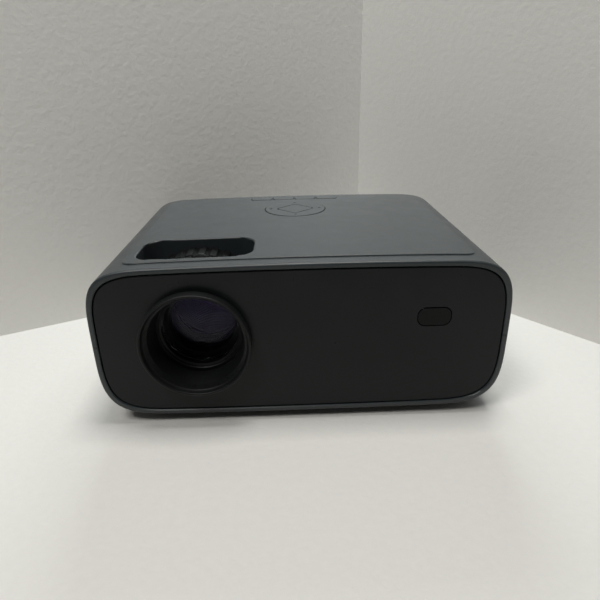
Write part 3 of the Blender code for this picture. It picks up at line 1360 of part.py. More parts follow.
def main():
    clear_scene()
    shell_grey = paint("shell plastic", (0.105, 0.117, 0.120), 0.42)
    panel_black = paint("panel plastic", (0.018, 0.021, 0.023), 0.38)
    matt_black = paint("matt black plastic", (0.010, 0.010, 0.011), 0.6)
    key_grey = paint("key plastic", (0.100, 0.112, 0.115), 0.45)
    rubber = paint("rubber", (0.015, 0.015, 0.016), 0.85)
    clear = paint("coated glass", (0.12, 0.10, 0.20), 0.05)
    smoked = paint("smoked window", (0.010, 0.010, 0.012), 0.2)
    aluminium = paint("aluminium", (0.62, 0.63, 0.65), 0.35, 1.0)
    steel = paint("steel", (0.45, 0.46, 0.48), 0.3, 1.0)
    board_green = paint("circuit board", (0.02, 0.12, 0.06), 0.5)
    acrylic = paint("acrylic sheet", (0.70, 0.74, 0.76), 0.15)
    amber = paint("winding tape", (0.55, 0.40, 0.08), 0.5)
    paper = paint("paper cone", (0.05, 0.05, 0.05), 0.9)
    make_top_shell(shell_grey)
    make_bottom_shell(shell_grey)
    make_front_panel(panel_black)
    make_rear_panel(panel_black)
    make_lens_bezel(matt_black)
    make_lens_mount(matt_black)
    make_lens_group(matt_black, clear)
    make_rings(matt_black)
    make_engine(matt_black, acrylic, matt_black, smoked)
    make_light_source(clear, aluminium, aluminium)
    make_fan("exhaust_fan", -1, exhaust_y(), matt_black, matt_black)
    make_fan("intake_fan", 1, intake_y(), matt_black, matt_black)
    make_keys(key_grey, rubber, board_green)
    make_feet(rubber, steel, matt_black)
    make_screws(steel)
    make_sockets(steel, matt_black)
    make_boards(board_green, amber, smoked)
    make_speaker(matt_black, paper)
    make_signal_window(smoked, board_green)


main()
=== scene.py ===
"""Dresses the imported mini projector: casing, panels, lens, adjuster rings, keys, feet and sockets are
modelled round the frame with procedural materials, on a plain pale floor in soft studio light."""

import math
from contextlib import contextmanager

import bmesh
import bpy
from mathutils import Matrix, Vector


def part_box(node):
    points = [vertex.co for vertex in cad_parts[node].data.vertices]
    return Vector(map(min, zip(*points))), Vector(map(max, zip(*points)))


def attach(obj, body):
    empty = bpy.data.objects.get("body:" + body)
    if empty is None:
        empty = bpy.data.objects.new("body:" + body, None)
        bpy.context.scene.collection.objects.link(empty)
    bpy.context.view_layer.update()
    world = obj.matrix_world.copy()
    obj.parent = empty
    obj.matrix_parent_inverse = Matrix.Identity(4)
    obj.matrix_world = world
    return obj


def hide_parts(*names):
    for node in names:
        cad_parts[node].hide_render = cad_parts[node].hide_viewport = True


bl_info = {
    "name": "Mini Projector",
    "version": (1, 0, 0),
    "blender": (4, 5, 0),
    "location": "3D View > Sidebar > Projector",
    "description": "Models a mini projector round its packed frame",
    "category": "Object",
}

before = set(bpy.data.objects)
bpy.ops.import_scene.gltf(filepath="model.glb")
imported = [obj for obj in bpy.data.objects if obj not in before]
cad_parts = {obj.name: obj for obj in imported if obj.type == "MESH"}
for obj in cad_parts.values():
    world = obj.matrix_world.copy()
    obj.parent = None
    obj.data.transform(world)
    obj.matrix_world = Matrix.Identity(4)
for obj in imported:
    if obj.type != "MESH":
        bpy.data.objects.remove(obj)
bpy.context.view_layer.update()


def extent(node):
    """The three sizes of a node's box."""
    low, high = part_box(node)
    return high - low


def middle(node):
    """The middle of a node's box."""
    low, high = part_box(node)
    return (low + high) / 2


def under(node):
    """The middle of the lower side of a node's box."""
    place = middle(node)
    return Vector((place.x, place.y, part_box(node)[0].z))


# Casing and shared fits
SHELL_LOW, SHELL_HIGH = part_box("top_shell")
PAD_LOW, PAD_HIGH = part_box("nav_ring")
FRONT_Y = SHELL_LOW.y
BACK_Y = SHELL_HIGH.y
HALF_WIDTH = SHELL_HIGH.x
BASE_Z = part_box("bottom_shell")[0].z
FIELD_RISE = 0.0007
ROOF_Z = SHELL_HIGH.z - FIELD_RISE
MID_Z = (BASE_Z + ROOF_Z) / 2
HALF_HEIGHT = ROOF_Z - MID_Z
LENS_X = middle("lens_bezel").x
LENS_Z = middle("lens_bezel").z
CORNER_REACH = 0.041
TOP_POWER = 4.4
LOW_POWER = 3.9
TOP_CROWN = 0.0015
LOW_CROWN = 0.001
WALL = 0.0028
GROOVE = 0.0005
GAP = 0.0003
RIM_ROUND = 0.0012
INNER_LIP = 0.0004
CORNER_STEPS = 22
FLAT_STEPS = 10
ROOT = 0.0008
ALONG_Y = (0.0, 1.0, 0.0)
MERGE = 0.000002
AXIS_MATCH = 1e-9
LEVEL_MATCH = 1e-7
OUTLINE_MATCH = 0.00002

# Raised field, focus window and its skirt
FIELD_EDGE = 0.00062
FIELD_CUTS = 24
WINDOW_SETBACK = 0.0125
WINDOW_CUT = 0.030
SKIRT_WALL = 0.0015
SKIRT_CLEARANCE = 0.0288
RIM_DEPTH = 0.002

# Vents
VENT_PITCH = 0.0056
VENT_WIDTH = 0.0026
VENT_HEIGHT = 0.016
VENT_SEAM_GAP = 0.004
VENT_REACH = 0.012
FAN_SIZE = 0.060
SPEAKER_SIZE = 0.038
REAR_VENT_COUNT = 9
REAR_VENT_HEIGHT = 0.030
GRILLE_COUNT = 6
GRILLE_LENGTH = 0.030
PANEL_CUT = 0.010

# Lower casing
FEET = ("foot_front_left", "foot_front_right", "foot_rear_left", "foot_rear_right")
SCREWS = tuple(f"case_screw_{number}" for number in range(1, 5))
WELL_RADIUS = 0.0042
WELL_BORE = 0.003
WELL_HEIGHT = 0.030
TILT_BOSS_RADIUS = 0.0057
TILT_BOSS_HEIGHT = 0.0195
TILT_BORE = 0.0033
BORE_START = 0.010
BORE_END = 0.050

# Panels and lens
PANEL_EDGE = 0.0005
SIGNAL_CORNER = 0.004
BEZEL_RADIUS = extent("lens_bezel").x / 2
BEZEL_LIP = 0.0016
BEZEL_BORE = 0.0224
BEZEL_DEPTH = 0.010
BEZEL_STEP = 0.0007
PANEL_OPENING = 0.0257
FUNNEL_STEPS = 6
FUNNEL_STEP = 0.00018
BARREL_WALL = 0.0024
BAFFLE_WALL = 0.004
BAFFLE_COUNT = 10
SEAT_DEPTH = 0.012
RETAINER = 0.0010
LENSES = (
    ("front_lens", 0.0035, 0.0015, "coated glass"),
    ("middle_lens", 0.002, 0.0, "inner glass"),
    ("rear_lens", 0.002, 0.0, "inner glass"),
)

# Adjuster rings
RING_RADIUS = extent("keystone_ring").x / 2
RING_BORE = 0.0269
RING_CHAMFER = 0.0004
RIB_STEPS = 8
VALLEY_POWER = 0.7
NUB_RADIUS = 0.0031
NUB_RISE = 0.0034
NUB_ROOT = 0.0022
NUB_TURN = math.radians(4.5)

# Keys
ROW_KEYS = ("power", "source", "menu", "return")
KEY_TRAVEL = 0.0004
KEY_EDGE = 0.0004
KEY_CORNER = 0.0016
OK_CORNER = 0.0024
KEY_CUT = 0.010
KEY_RIM_DEPTH = 0.001
MARK_REACH = 0.0158
MARK_SIZE = 0.0014
MARK_DEPTH = 0.0005
STEM_RADIUS = 0.0022
STEM_HEIGHT = 0.0024
OK_CUT = 0.012

# Feet, screws and sockets
FOOT_EDGE = 0.0009
GRIP_COUNT = 30
GRIP_STEPS = 6
GRIP_DEPTH = 0.0006
SOCKET_DEPTH = 0.006
THREAD_ROWS = 6
THREAD_COLUMNS = 24
THREAD_DEPTH = 0.0005
SCREW_EDGE = 0.0006
REAR_OPENINGS = (
    ("hdmi_socket", 0.0004), ("usb_socket", 0.0004), ("card_slot", 0.0003), ("power_inlet", 0.0008),
)
SOCKET_FLOOR = 0.0012
CONTACT_THICKNESS = 0.00012
JACK_EDGE = 0.0003
JACK_BORE = 0.00175
INLET_DEPTH = 0.011
PIN_REACH = 0.0043

# Repeat of a wave texture at a scale of 1
WAVE_SCALE = 0.314


class ProjectorSizes(bpy.types.PropertyGroup):
    window_length: bpy.props.FloatProperty(
        name="Window length", description="Length of the focus window", default=0.0594, unit="LENGTH"
    )
    window_width: bpy.props.FloatProperty(
        name="Window width", description="Width of the focus window", default=0.032, unit="LENGTH"
    )
    window_corner: bpy.props.FloatProperty(
        name="Window corner", description="Corner radius of the window", default=0.010, unit="LENGTH"
    )
    window_lip: bpy.props.FloatProperty(
        name="Window lip", description="Radius of the window's soft lip", default=0.0009, unit="LENGTH"
    )
    field_side: bpy.props.FloatProperty(
        name="Field side", description="Margin beside the field", default=0.017, unit="LENGTH"
    )
    field_setback: bpy.props.FloatProperty(
        name="Field setback", description="Margin in front of the field", default=0.0085, unit="LENGTH"
    )
    field_back: bpy.props.FloatProperty(
        name="Field back", description="Margin behind the field", default=0.006, unit="LENGTH"
    )
    field_corner: bpy.props.FloatProperty(
        name="Field corner", description="Corner radius of the field", default=0.007, unit="LENGTH"
    )
    rib_count: bpy.props.IntProperty(
        name="Ribs", description="Grip ribs round each adjuster ring", default=36, min=12, max=90
    )
    rib_depth: bpy.props.FloatProperty(
        name="Rib depth", description="Depth between the ribs", default=0.0011, unit="LENGTH"
    )
    thread_pitch: bpy.props.FloatProperty(
        name="Foot thread pitch", description="Rise of the thread in one turn", default=0.0015, unit="LENGTH"
    )


class ProjectorColours(bpy.types.PropertyGroup):
    casing: bpy.props.FloatVectorProperty(
        name="Casing", description="Casing plastic", default=(0.022, 0.028, 0.031), subtype="COLOR"
    )
    # The panel colour is the casing plastic made about three times darker: painted shade for the front panel,
    # which faces away from the lamps.
    panel: bpy.props.FloatVectorProperty(
        name="Panels", description="Panel plastic", default=(0.0075, 0.0088, 0.0096), subtype="COLOR"
    )
    black: bpy.props.FloatVectorProperty(
        name="Black plastic", description="Black pieces", default=(0.0055, 0.006, 0.0066), subtype="COLOR"
    )
    rubber: bpy.props.FloatVectorProperty(
        name="Rubber", description="Feet and pivot plate", default=(0.016, 0.016, 0.017), subtype="COLOR"
    )
    board: bpy.props.FloatVectorProperty(
        name="Boards", description="Solder mask of the boards", default=(0.012, 0.085, 0.040), subtype="COLOR"
    )
    coating: bpy.props.FloatVectorProperty(
        name="Lens coating", description="Sheen of the inner glass", default=(0.42, 0.22, 0.85), subtype="COLOR"
    )
    floor: bpy.props.FloatVectorProperty(
        name="Floor", description="Floor and backdrop", default=(0.70, 0.69, 0.66), subtype="COLOR"
    )


def deselect():
    """Leaves edit mode and clears the selection."""
    if bpy.context.object and bpy.context.object.mode != "OBJECT":
        bpy.ops.object.mode_set(mode="OBJECT")
    bpy.ops.object.select_all(action="DESELECT")


def only(piece):
    """Selects one piece and makes it active."""
    deselect()
    piece.select_set(True)
    bpy.context.view_layer.objects.active = piece


@contextmanager
def editing(piece):
    """Edit mode on one piece."""
    only(piece)
    bpy.ops.object.mode_set(mode="EDIT")
    bpy.ops.mesh.select_mode(type="VERT")
    yield
    bpy.ops.object.mode_set(mode="OBJECT")


def pick(piece, kind, test):
    """In edit mode, selects the edges or faces that pass the test, and says how many."""
    bpy.ops.mesh.select_mode(type=kind)
    bpy.ops.mesh.select_all(action="DESELECT")
    work = bmesh.from_edit_mesh(piece.data)
    found = [item for item in {"EDGE": work.edges, "FACE": work.faces}[kind] if test(item)]
    for item in found:
        item.select = True
    work.select_flush_mode()
    bmesh.update_edit_mesh(piece.data)
    return len(found)


def need(found, what):
    """Stops the script where a selection that a step needs is empty."""
    if not found:
        raise RuntimeError(f"nothing was selected for {what}")


def name_piece(piece, name):
    """Gives an object and its mesh their name."""
    piece.name = name
    piece.data.name = piece.name
    return piece


def settle(piece):
    """Puts a piece's place, turn and size into its mesh."""
    only(piece)
    bpy.ops.object.transform_apply(location=True, rotation=True, scale=True)
    return piece


def soften(piece, degrees=32.0):
    """Smooth shading with sharp edges kept and flat faces flat."""
    only(piece)
    bpy.ops.object.shade_smooth_by_angle(angle=math.radians(degrees))
    step = piece.modifiers.new("Normals", "WEIGHTED_NORMAL")
    step.keep_sharp = True
    bpy.ops.object.modifier_apply(modifier=step.name)
    return piece


def outward(piece):
    """Merges doubles and turns the faces outwards."""
    with editing(piece):
        bpy.ops.mesh.select_all(action="SELECT")
        bpy.ops.mesh.remove_doubles(threshold=MERGE)
        bpy.ops.mesh.normals_make_consistent(inside=False)
    return piece


def combine(piece, tool, operation="DIFFERENCE"):
    """Applies an exact Boolean with the tool, and removes the tool."""
    only(piece)
    step = piece.modifiers.new("Shape", "BOOLEAN")
    step.operation = operation
    step.solver = "EXACT"
    step.object = tool
    bpy.ops.object.modifier_apply(modifier=step.name)
    bpy.data.objects.remove(tool, do_unlink=True)
    return piece


def merged(pieces, name):
    """Joins pieces into one object."""
    deselect()
    for piece in pieces:
        piece.select_set(True)
    bpy.context.view_layer.objects.active = pieces[0]
    bpy.ops.object.join()
    return name_piece(pieces[0], name)


def copy_of(source, name, move):
    """A copy with its own mesh, moved inside that mesh."""
    piece = source.copy()
    piece.data = source.data.copy()
    bpy.context.scene.collection.objects.link(piece)
    piece.data.transform(Matrix.Translation(move))
    return name_piece(piece, name)


def lathe(name, profile, centre, axis=(0.0, 0.0, 1.0), steps=64):
    """A spun piece from a closed profile of radius and distance along the axis."""
    deselect()
    bpy.ops.mesh.primitive_circle_add(vertices=len(profile), radius=1.0, fill_type="NOTHING")
    piece = name_piece(bpy.context.object, name)
    for vertex, (radius, distance) in zip(piece.data.vertices, profile):
        vertex.co = (radius, 0.0, distance)
    with editing(piece):
        if pick(piece, "EDGE", lambda edge: all(abs(v.co.x) < AXIS_MATCH for v in edge.verts)):
            bpy.ops.mesh.delete(type="EDGE")
        bpy.ops.mesh.select_mode(type="VERT")
        bpy.ops.mesh.select_all(action="SELECT")
        bpy.ops.mesh.spin(steps=steps, angle=2 * math.pi, center=(0.0, 0.0, 0.0), axis=(0.0, 0.0, 1.0))
    turn = Vector((0.0, 0.0, 1.0)).rotation_difference(Vector(axis)).to_matrix().to_4x4()
    piece.data.transform(Matrix.Translation(Vector(centre)) @ turn)
    outward(piece)
    return soften(piece)


def rod(radius, start, end, centre, axis=(0.0, 0.0, 1.0), steps=48):
    """A round bar between two distances along its axis."""
    profile = [(0.0, start), (radius, start), (radius, end), (0.0, end)]
    return lathe("rod", profile, centre, axis, steps)


def rounding(radius, centre, start, end, steps=4):
    """Points of an arc in a profile, with angles in degrees."""
    turns = [math.radians(start + (end - start) * step / steps) for step in range(steps + 1)]
    return [(centre[0] + radius * math.cos(t), centre[1] + radius * math.sin(t)) for t in turns]


def bar(name, size, centre, axis="Z", corner=0.0, corner_steps=6, edge=0.0, edge_steps=3, both=False):
    """A block whose edges along the axis are rounded by corner, and whose high end is rounded by edge."""
    deselect()
    bpy.ops.mesh.primitive_cube_add(size=1.0, location=centre)
    piece = name_piece(bpy.context.object, name)
    piece.scale = size
    settle(piece)
    along = "XYZ".index(axis)
    half = size[along] / 2
    ends = [centre[along] + half] + ([centre[along] - half] if both else [])
    with editing(piece):
        if corner:
            pick(piece, "EDGE", lambda item: abs(item.verts[0].co[along] - item.verts[1].co[along]) > half)
            bpy.ops.mesh.bevel(offset=corner, segments=corner_steps, affect="EDGES", clamp_overlap=False)
        if edge:
            near = 1e-6
            pick(piece, "EDGE", lambda item: any(level_with(item, along, end, near) for end in ends))
            bpy.ops.mesh.bevel(offset=edge, segments=edge_steps, affect="EDGES", clamp_overlap=False)
    outward(piece)
    return soften(piece)


def level_with(item, along, level, near=LEVEL_MATCH):
    """Whether all of an edge or face lies at one level along an axis."""
    return all(abs(v.co[along] - level) < near for v in item.verts)


def half_outline(inset, upper):
    """The casing's outline above or below its middle, from +X to -X, set in by inset."""
    half_width = HALF_WIDTH - inset
    half_height = HALF_HEIGHT - inset
    reach = CORNER_REACH - inset
    power = TOP_POWER if upper else LOW_POWER
    crown = TOP_CROWN if upper else LOW_CROWN
    corner = []
    for step in range(CORNER_STEPS + 1):
        turn = math.pi / 2 * step / CORNER_STEPS
        across = abs(math.cos(turn)) ** (2 / power) if step < CORNER_STEPS else 0.0
        corner.append((half_width - reach + reach * across, half_height * math.sin(turn) ** (2 / power)))
    flat = half_width - reach
    straight = [(flat * (1 - 2 * step / FLAT_STEPS), half_height) for step in range(1, FLAT_STEPS)]
    side = 1 if upper else -1
    points = []
    for x, rise in corner + straight + [(-x, rise) for x, rise in reversed(corner)]:
        drop = crown * (x / half_width) ** 2 * rise / half_height
        points.append((x, MID_Z + side * max(rise - drop, 0.0)))
    return points


def skin_at(x, upper=True):
    """The height of the casing's top or underside at x."""
    power = TOP_POWER if upper else LOW_POWER
    crown = TOP_CROWN if upper else LOW_CROWN
    past = min(max(abs(x) - (HALF_WIDTH - CORNER_REACH), 0.0) / CORNER_REACH, 1.0)
    rise = HALF_HEIGHT * (1.0 - past**power) ** (1 / power)
    rise -= crown * (x / HALF_WIDTH) ** 2 * rise / HALF_HEIGHT
    return MID_Z + rise if upper else MID_Z - rise


def casing_half(name, upper):
    """One half of the casing, closed at its seam: a grid laid along the outline and round the wall."""
    seam = MID_Z + GAP / 2 if upper else MID_Z - GAP / 2
    front = rounding(RIM_ROUND, (RIM_ROUND, RIM_ROUND), 270, 180, 5)
    profile = [(FRONT_Y + depth, inset) for depth, inset in front]
    profile += [(FRONT_Y, WALL - INNER_LIP), (FRONT_Y + INNER_LIP, WALL)]
    profile += [(BACK_Y - INNER_LIP, WALL), (BACK_Y, WALL - INNER_LIP)]
    profile += [(BACK_Y - depth, inset) for depth, inset in reversed(front)]
    profile.append(profile[0])
    lines = [half_outline(inset, upper) for depth, inset in profile]
    count = len(lines[0])
    deselect()
    bpy.ops.mesh.primitive_grid_add(x_subdivisions=count - 1, y_subdivisions=len(profile) - 1, size=1.0)
    piece = name_piece(bpy.context.object, name)
    for number, vertex in enumerate(piece.data.vertices):
        row, column = divmod(number, count)
        x, z = lines[row][column]
        vertex.co = (x, profile[row][0], seam if column in (0, count - 1) else z)
    with editing(piece):
        bpy.ops.mesh.select_all(action="SELECT")
        bpy.ops.mesh.remove_doubles(threshold=MERGE)
        for side in (-1, 1):
            found = pick(piece, "EDGE", lambda e: e.is_boundary and all(v.co.x * side > 0 for v in e.verts))
            need(found, name + " seam")
            bpy.ops.mesh.edge_face_add()
        bpy.ops.mesh.select_all(action="SELECT")
        bpy.ops.mesh.normals_make_consistent(inside=False)
    return piece


def raised_field(sizes):
    """The raised field of the top as a solid that follows the roof."""
    width = 2 * (HALF_WIDTH - sizes.field_side)
    front = FRONT_Y + sizes.field_setback
    back = BACK_Y - sizes.field_back
    top = FIELD_RISE + ROOT
    deselect()
    bpy.ops.mesh.primitive_plane_add(size=1.0, location=(0.0, (front + back) / 2, 0.0))
    piece = name_piece(bpy.context.object, "raised_field")
    piece.scale = (width, back - front, 1.0)
    settle(piece)
    with editing(piece):
        bpy.ops.mesh.select_all(action="SELECT")
        bpy.ops.mesh.bevel(offset=sizes.field_corner, segments=8, affect="VERTICES")
        bpy.ops.mesh.select_all(action="SELECT")
        bpy.ops.mesh.extrude_region_move(TRANSFORM_OT_translate={"value": (0.0, 0.0, top)})
        pick(piece, "EDGE", lambda e: level_with(e, 2, top))
        bpy.ops.mesh.bevel(offset=FIELD_EDGE, segments=4, affect="EDGES")
        bpy.ops.mesh.select_all(action="SELECT")
        bpy.ops.mesh.normals_make_consistent(inside=False)
        for step in range(1, FIELD_CUTS):
            x = width * (step / FIELD_CUTS - 0.5)
            bpy.ops.mesh.select_all(action="SELECT")
            bpy.ops.mesh.bisect(plane_co=(x, 0.0, 0.0), plane_no=(1.0, 0.0, 0.0))
    for vertex in piece.data.vertices:
        vertex.co.z += skin_at(vertex.co.x) - ROOT
    return piece


def on_outline(point, centre, size, corner):
    """Whether a point lies on a rounded rectangle's outline."""
    across = max(abs(point.x - centre[0]) - size[0] / 2 + corner, 0.0)
    deep = max(abs(point.y - centre[1]) - size[1] / 2 + corner, 0.0)
    return (across > 0 or deep > 0) and abs(math.hypot(across, deep) - corner) < OUTLINE_MATCH


def soft_rim(piece, level, test, width, steps=2):
    """Rounds the edges of an opening that lie above a level."""
    with editing(piece):
        need(pick(piece, "EDGE", lambda edge: all(v.co.z > level and test(v.co) for v in edge.verts)), "a rim")
        bpy.ops.mesh.bevel(offset=width, segments=steps, affect="EDGES", clamp_overlap=False)


def cut_slots(piece, places, size, axis):
    """Cuts a row of vent slots with round ends."""
    corner = min(size[k] for k in range(3) if k != "XYZ".index(axis)) * 0.499
    cutters = [bar("slot", size, place, axis, corner, 5) for place in places]
    return combine(piece, merged(cutters, "slots"))


def cut_side_vents(piece, upper):
    """Cuts the vent slots of both side walls."""
    rise = VENT_SEAM_GAP + VENT_HEIGHT / 2
    height = MID_Z + rise if upper else MID_Z - rise
    groups = (
        (-1, "exhaust_fan_frame", FAN_SIZE),
        (1, "intake_fan_frame", FAN_SIZE),
        (1, "speaker_frame", SPEAKER_SIZE),
    )
    places = []
    for side, node, span in groups:
        count = int(span / VENT_PITCH)
        start = middle(node).y - VENT_PITCH * (count - 1) / 2
        places += [(side * HALF_WIDTH, start + VENT_PITCH * step, height) for step in range(count)]
    return cut_slots(piece, places, (2 * VENT_REACH, VENT_WIDTH, VENT_HEIGHT), "X")


def dress(piece, finish, body, slot, *nodes):
    """Gives a piece its finish, its body and the nodes that it stands for. The slot argument is not used."""
    piece.data.materials.clear()
    piece.data.materials.append(FINISHES[finish])
    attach(piece, body)
    if nodes:
        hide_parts(*nodes)
    return piece


def finish_shell(piece, node):
    """Merges the slivers that the cuts leave, shades a casing half and dresses it."""
    with editing(piece):
        bpy.ops.mesh.select_all(action="SELECT")
        bpy.ops.mesh.remove_doubles(threshold=MERGE * 1.5)
    soften(piece, 28)
    dress(piece, "shell plastic", "housing", "shell_plastic", node)


class PROJECTOR_OT_top_shell(bpy.types.Operator):
    """Upper casing: raised field, focus window with a soft lip and a skirt, key openings and side vents"""

    bl_idname = "projector.top_shell"
    bl_label = "Upper casing"

    def execute(self, context):
        sizes = context.scene.projector_sizes
        shell = casing_half("upper_casing", True)
        combine(shell, raised_field(sizes), "UNION")
        corner = sizes.window_corner
        centre = (LENS_X, FRONT_Y + WINDOW_SETBACK + sizes.window_width / 2)
        hole = (sizes.window_length, sizes.window_width, WINDOW_CUT)
        low = LENS_Z + SKIRT_CLEARANCE
        high = skin_at(abs(LENS_X) + hole[0] / 2 + SKIRT_WALL) - WALL / 2
        size = (hole[0] + 2 * SKIRT_WALL, hole[1] + 2 * SKIRT_WALL, high - low)
        skirt = bar("skirt", size, (*centre, (low + high) / 2), "Z", corner + SKIRT_WALL, 10)
        combine(shell, skirt, "UNION")
        combine(shell, bar("window", hole, (*centre, ROOF_Z), "Z", corner, 10))
        level = ROOF_Z - RIM_DEPTH
        soft_rim(shell, level, lambda co: on_outline(co, centre, hole, corner), sizes.window_lip, 4)
        rim_level = ROOF_Z - KEY_RIM_DEPTH
        key_corner = KEY_CORNER + GAP
        for name in ROW_KEYS:
            across, deep, _ = extent("key_" + name)
            size = (across + 2 * GAP, deep + 2 * GAP, KEY_CUT)
            place = (*middle("key_" + name).xy, ROOF_Z)
            combine(shell, bar("key opening", size, place, "Z", key_corner, 5))
            soft_rim(shell, rim_level, lambda co: on_outline(co, place, size, key_corner), 0.0002)
        radius = extent("nav_ring").x / 2 + GAP
        pad_y = middle("nav_ring").y
        combine(shell, rod(radius, -KEY_CUT / 2, KEY_CUT / 2, (0.0, pad_y, ROOF_Z), steps=96))

        def on_pad(co):
            return abs(math.hypot(co.x, co.y - pad_y) - radius) < OUTLINE_MATCH

        soft_rim(shell, rim_level, on_pad, 0.0003)
        finish_shell(cut_side_vents(shell, True), "top_shell")
        return {"FINISHED"}


class PROJECTOR_OT_bottom_shell(bpy.types.Operator):
    """Lower casing: foot seats, screw wells, tilt foot bore, floor grille and side vents"""

    bl_idname = "projector.bottom_shell"
    bl_label = "Lower casing"

    def execute(self, context):
        shell = casing_half("lower_casing", False)
        for node in FEET:
            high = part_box(node)[1].z + GAP
            combine(shell, rod(extent(node).x / 2 + GAP, 0.0, -BORE_START, (*middle(node).xy, high)))
        for node in SCREWS:
            centre = middle(node).xy
            start = skin_at(abs(centre.x) + WELL_RADIUS, False) + WALL / 2
            combine(shell, rod(WELL_RADIUS, 0.0, WELL_HEIGHT, (*centre, start), steps=32), "UNION")
            combine(shell, rod(WELL_BORE, 0.0, BORE_END, (*centre, BASE_Z - BORE_START), steps=32))
        centre = middle("tilt_stud").xy
        boss = rod(TILT_BOSS_RADIUS, 0.0, TILT_BOSS_HEIGHT, (*centre, BASE_Z + WALL / 2), steps=40)
        combine(shell, boss, "UNION")
        combine(shell, rod(TILT_BORE, 0.0, BORE_END, (*centre, BASE_Z - BORE_START), steps=40))
        centre = middle("power_board")
        columns = [centre.x + VENT_PITCH * (step - (GRILLE_COUNT - 1) / 2) for step in range(GRILLE_COUNT)]
        places = [(x, centre.y, BASE_Z) for x in columns]
        cut_slots(shell, places, (VENT_WIDTH, GRILLE_LENGTH, VENT_REACH), "Z")
        finish_shell(cut_side_vents(shell, False), "bottom_shell")
        return {"FINISHED"}


def flat_panel(name, face, back):
    """A panel that fills the casing's outline, with a soft outer edge."""
    inset = WALL + GROOVE
    outline = half_outline(inset, True) + half_outline(inset, False)[-2:0:-1]
    deselect()
    bpy.ops.mesh.primitive_circle_add(vertices=len(outline), radius=1.0, fill_type="NGON")
    piece = name_piece(bpy.context.object, name)
    for vertex, (x, z) in zip(piece.data.vertices, outline):
        vertex.co = (x, back, z)
    with editing(piece):
        bpy.ops.mesh.select_all(action="SELECT")
        bpy.ops.mesh.extrude_region_move(TRANSFORM_OT_translate={"value": (0.0, face - back, 0.0)})
        pick(piece, "EDGE", lambda e: level_with(e, 1, face))
        bpy.ops.mesh.bevel(offset=PANEL_EDGE, segments=4, affect="EDGES")
    return outward(piece)


def box_cut(piece, low, high, corner):
    """Cuts a block between two corners out of a piece."""
    size = tuple(b - a for a, b in zip(low, high))
    centre = tuple((a + b) / 2 for a, b in zip(low, high))
    return combine(piece, bar("opening", size, centre, "Y", corner, 4))


class PROJECTOR_OT_front_panel(bpy.types.Operator):
    """Front panel with its lens opening, and the remote-control window"""

    bl_idname = "projector.front_panel"
    bl_label = "Front panel"

    def execute(self, context):
        low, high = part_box("front_panel")
        panel = flat_panel("front_panel", low.y, high.y)
        centre = (LENS_X, low.y, LENS_Z)
        combine(panel, rod(PANEL_OPENING + GAP, -PANEL_CUT, PANEL_CUT, centre, ALONG_Y, 96))
        window_size = extent("signal_window")
        centre = middle("signal_window")
        size = (window_size.x + 2 * GAP, 2 * PANEL_CUT, window_size.z + 2 * GAP)
        combine(panel, bar("opening", size, (centre.x, low.y, centre.z), "Y", SIGNAL_CORNER + GAP, 8))
        soften(panel, 28)
        dress(panel, "panel plastic", "housing", "panel_plastic", "front_panel")
        window = bar("remote-control_window", window_size, centre, "Y", SIGNAL_CORNER, 8, PANEL_EDGE, 3, True)
        dress(window, "smoked window", "housing", "smoked_window", "signal_window")
        return {"FINISHED"}


class PROJECTOR_OT_lens_bezel(bpy.types.Operator):
    """Proud ring round the lens: rolled lip, funnel mouth with fine steps, sleeve through the panel"""

    bl_idname = "projector.lens_bezel"
    bl_label = "Lens ring"

    def execute(self, context):
        outer = BEZEL_RADIUS
        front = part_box("lens_bezel")[0].y - FRONT_Y
        lip = outer - BEZEL_LIP
        sleeve = lip - BEZEL_STEP
        throat = sleeve - 0.0014
        profile = rounding(BEZEL_LIP / 2, (outer - BEZEL_LIP / 2, front + BEZEL_LIP / 2), 0, -180, 10)
        profile.append((lip - 0.0002, front + 0.0022))
        wide = lip - 0.0004
        near = front + 0.0024
        for step in range(1, FUNNEL_STEPS + 1):
            share = step / (FUNNEL_STEPS + 1)
            radius = wide + (throat - wide) * share
            depth = near - near * share
            profile += [(radius, depth), (radius - FUNNEL_STEP, depth + 0.0001)]
        profile += [(throat, 0.0), (BEZEL_BORE, BEZEL_DEPTH / 2), (BEZEL_BORE, BEZEL_DEPTH)]
        profile += [(sleeve, BEZEL_DEPTH), (sleeve, 0.0), (outer - 0.0003, 0.0), (outer, -0.0003)]
        bezel = lathe("lens_ring", profile, (LENS_X, FRONT_Y, LENS_Z), ALONG_Y, 128)
        dress(bezel, "matt black", "housing", "black_plastic", "lens_bezel")
        return {"FINISHED"}


def glass_profile(radius, thickness, bulge, dish, steps=14):
    """Profile of a round element, domed at the front, and flat or dished at the back."""
    shares = [step / steps for step in range(steps + 1)]
    points = [(radius * share, bulge * share**2) for share in shares]
    return points + [(radius * share, thickness - dish * (1 - share**2)) for share in reversed(shares)]


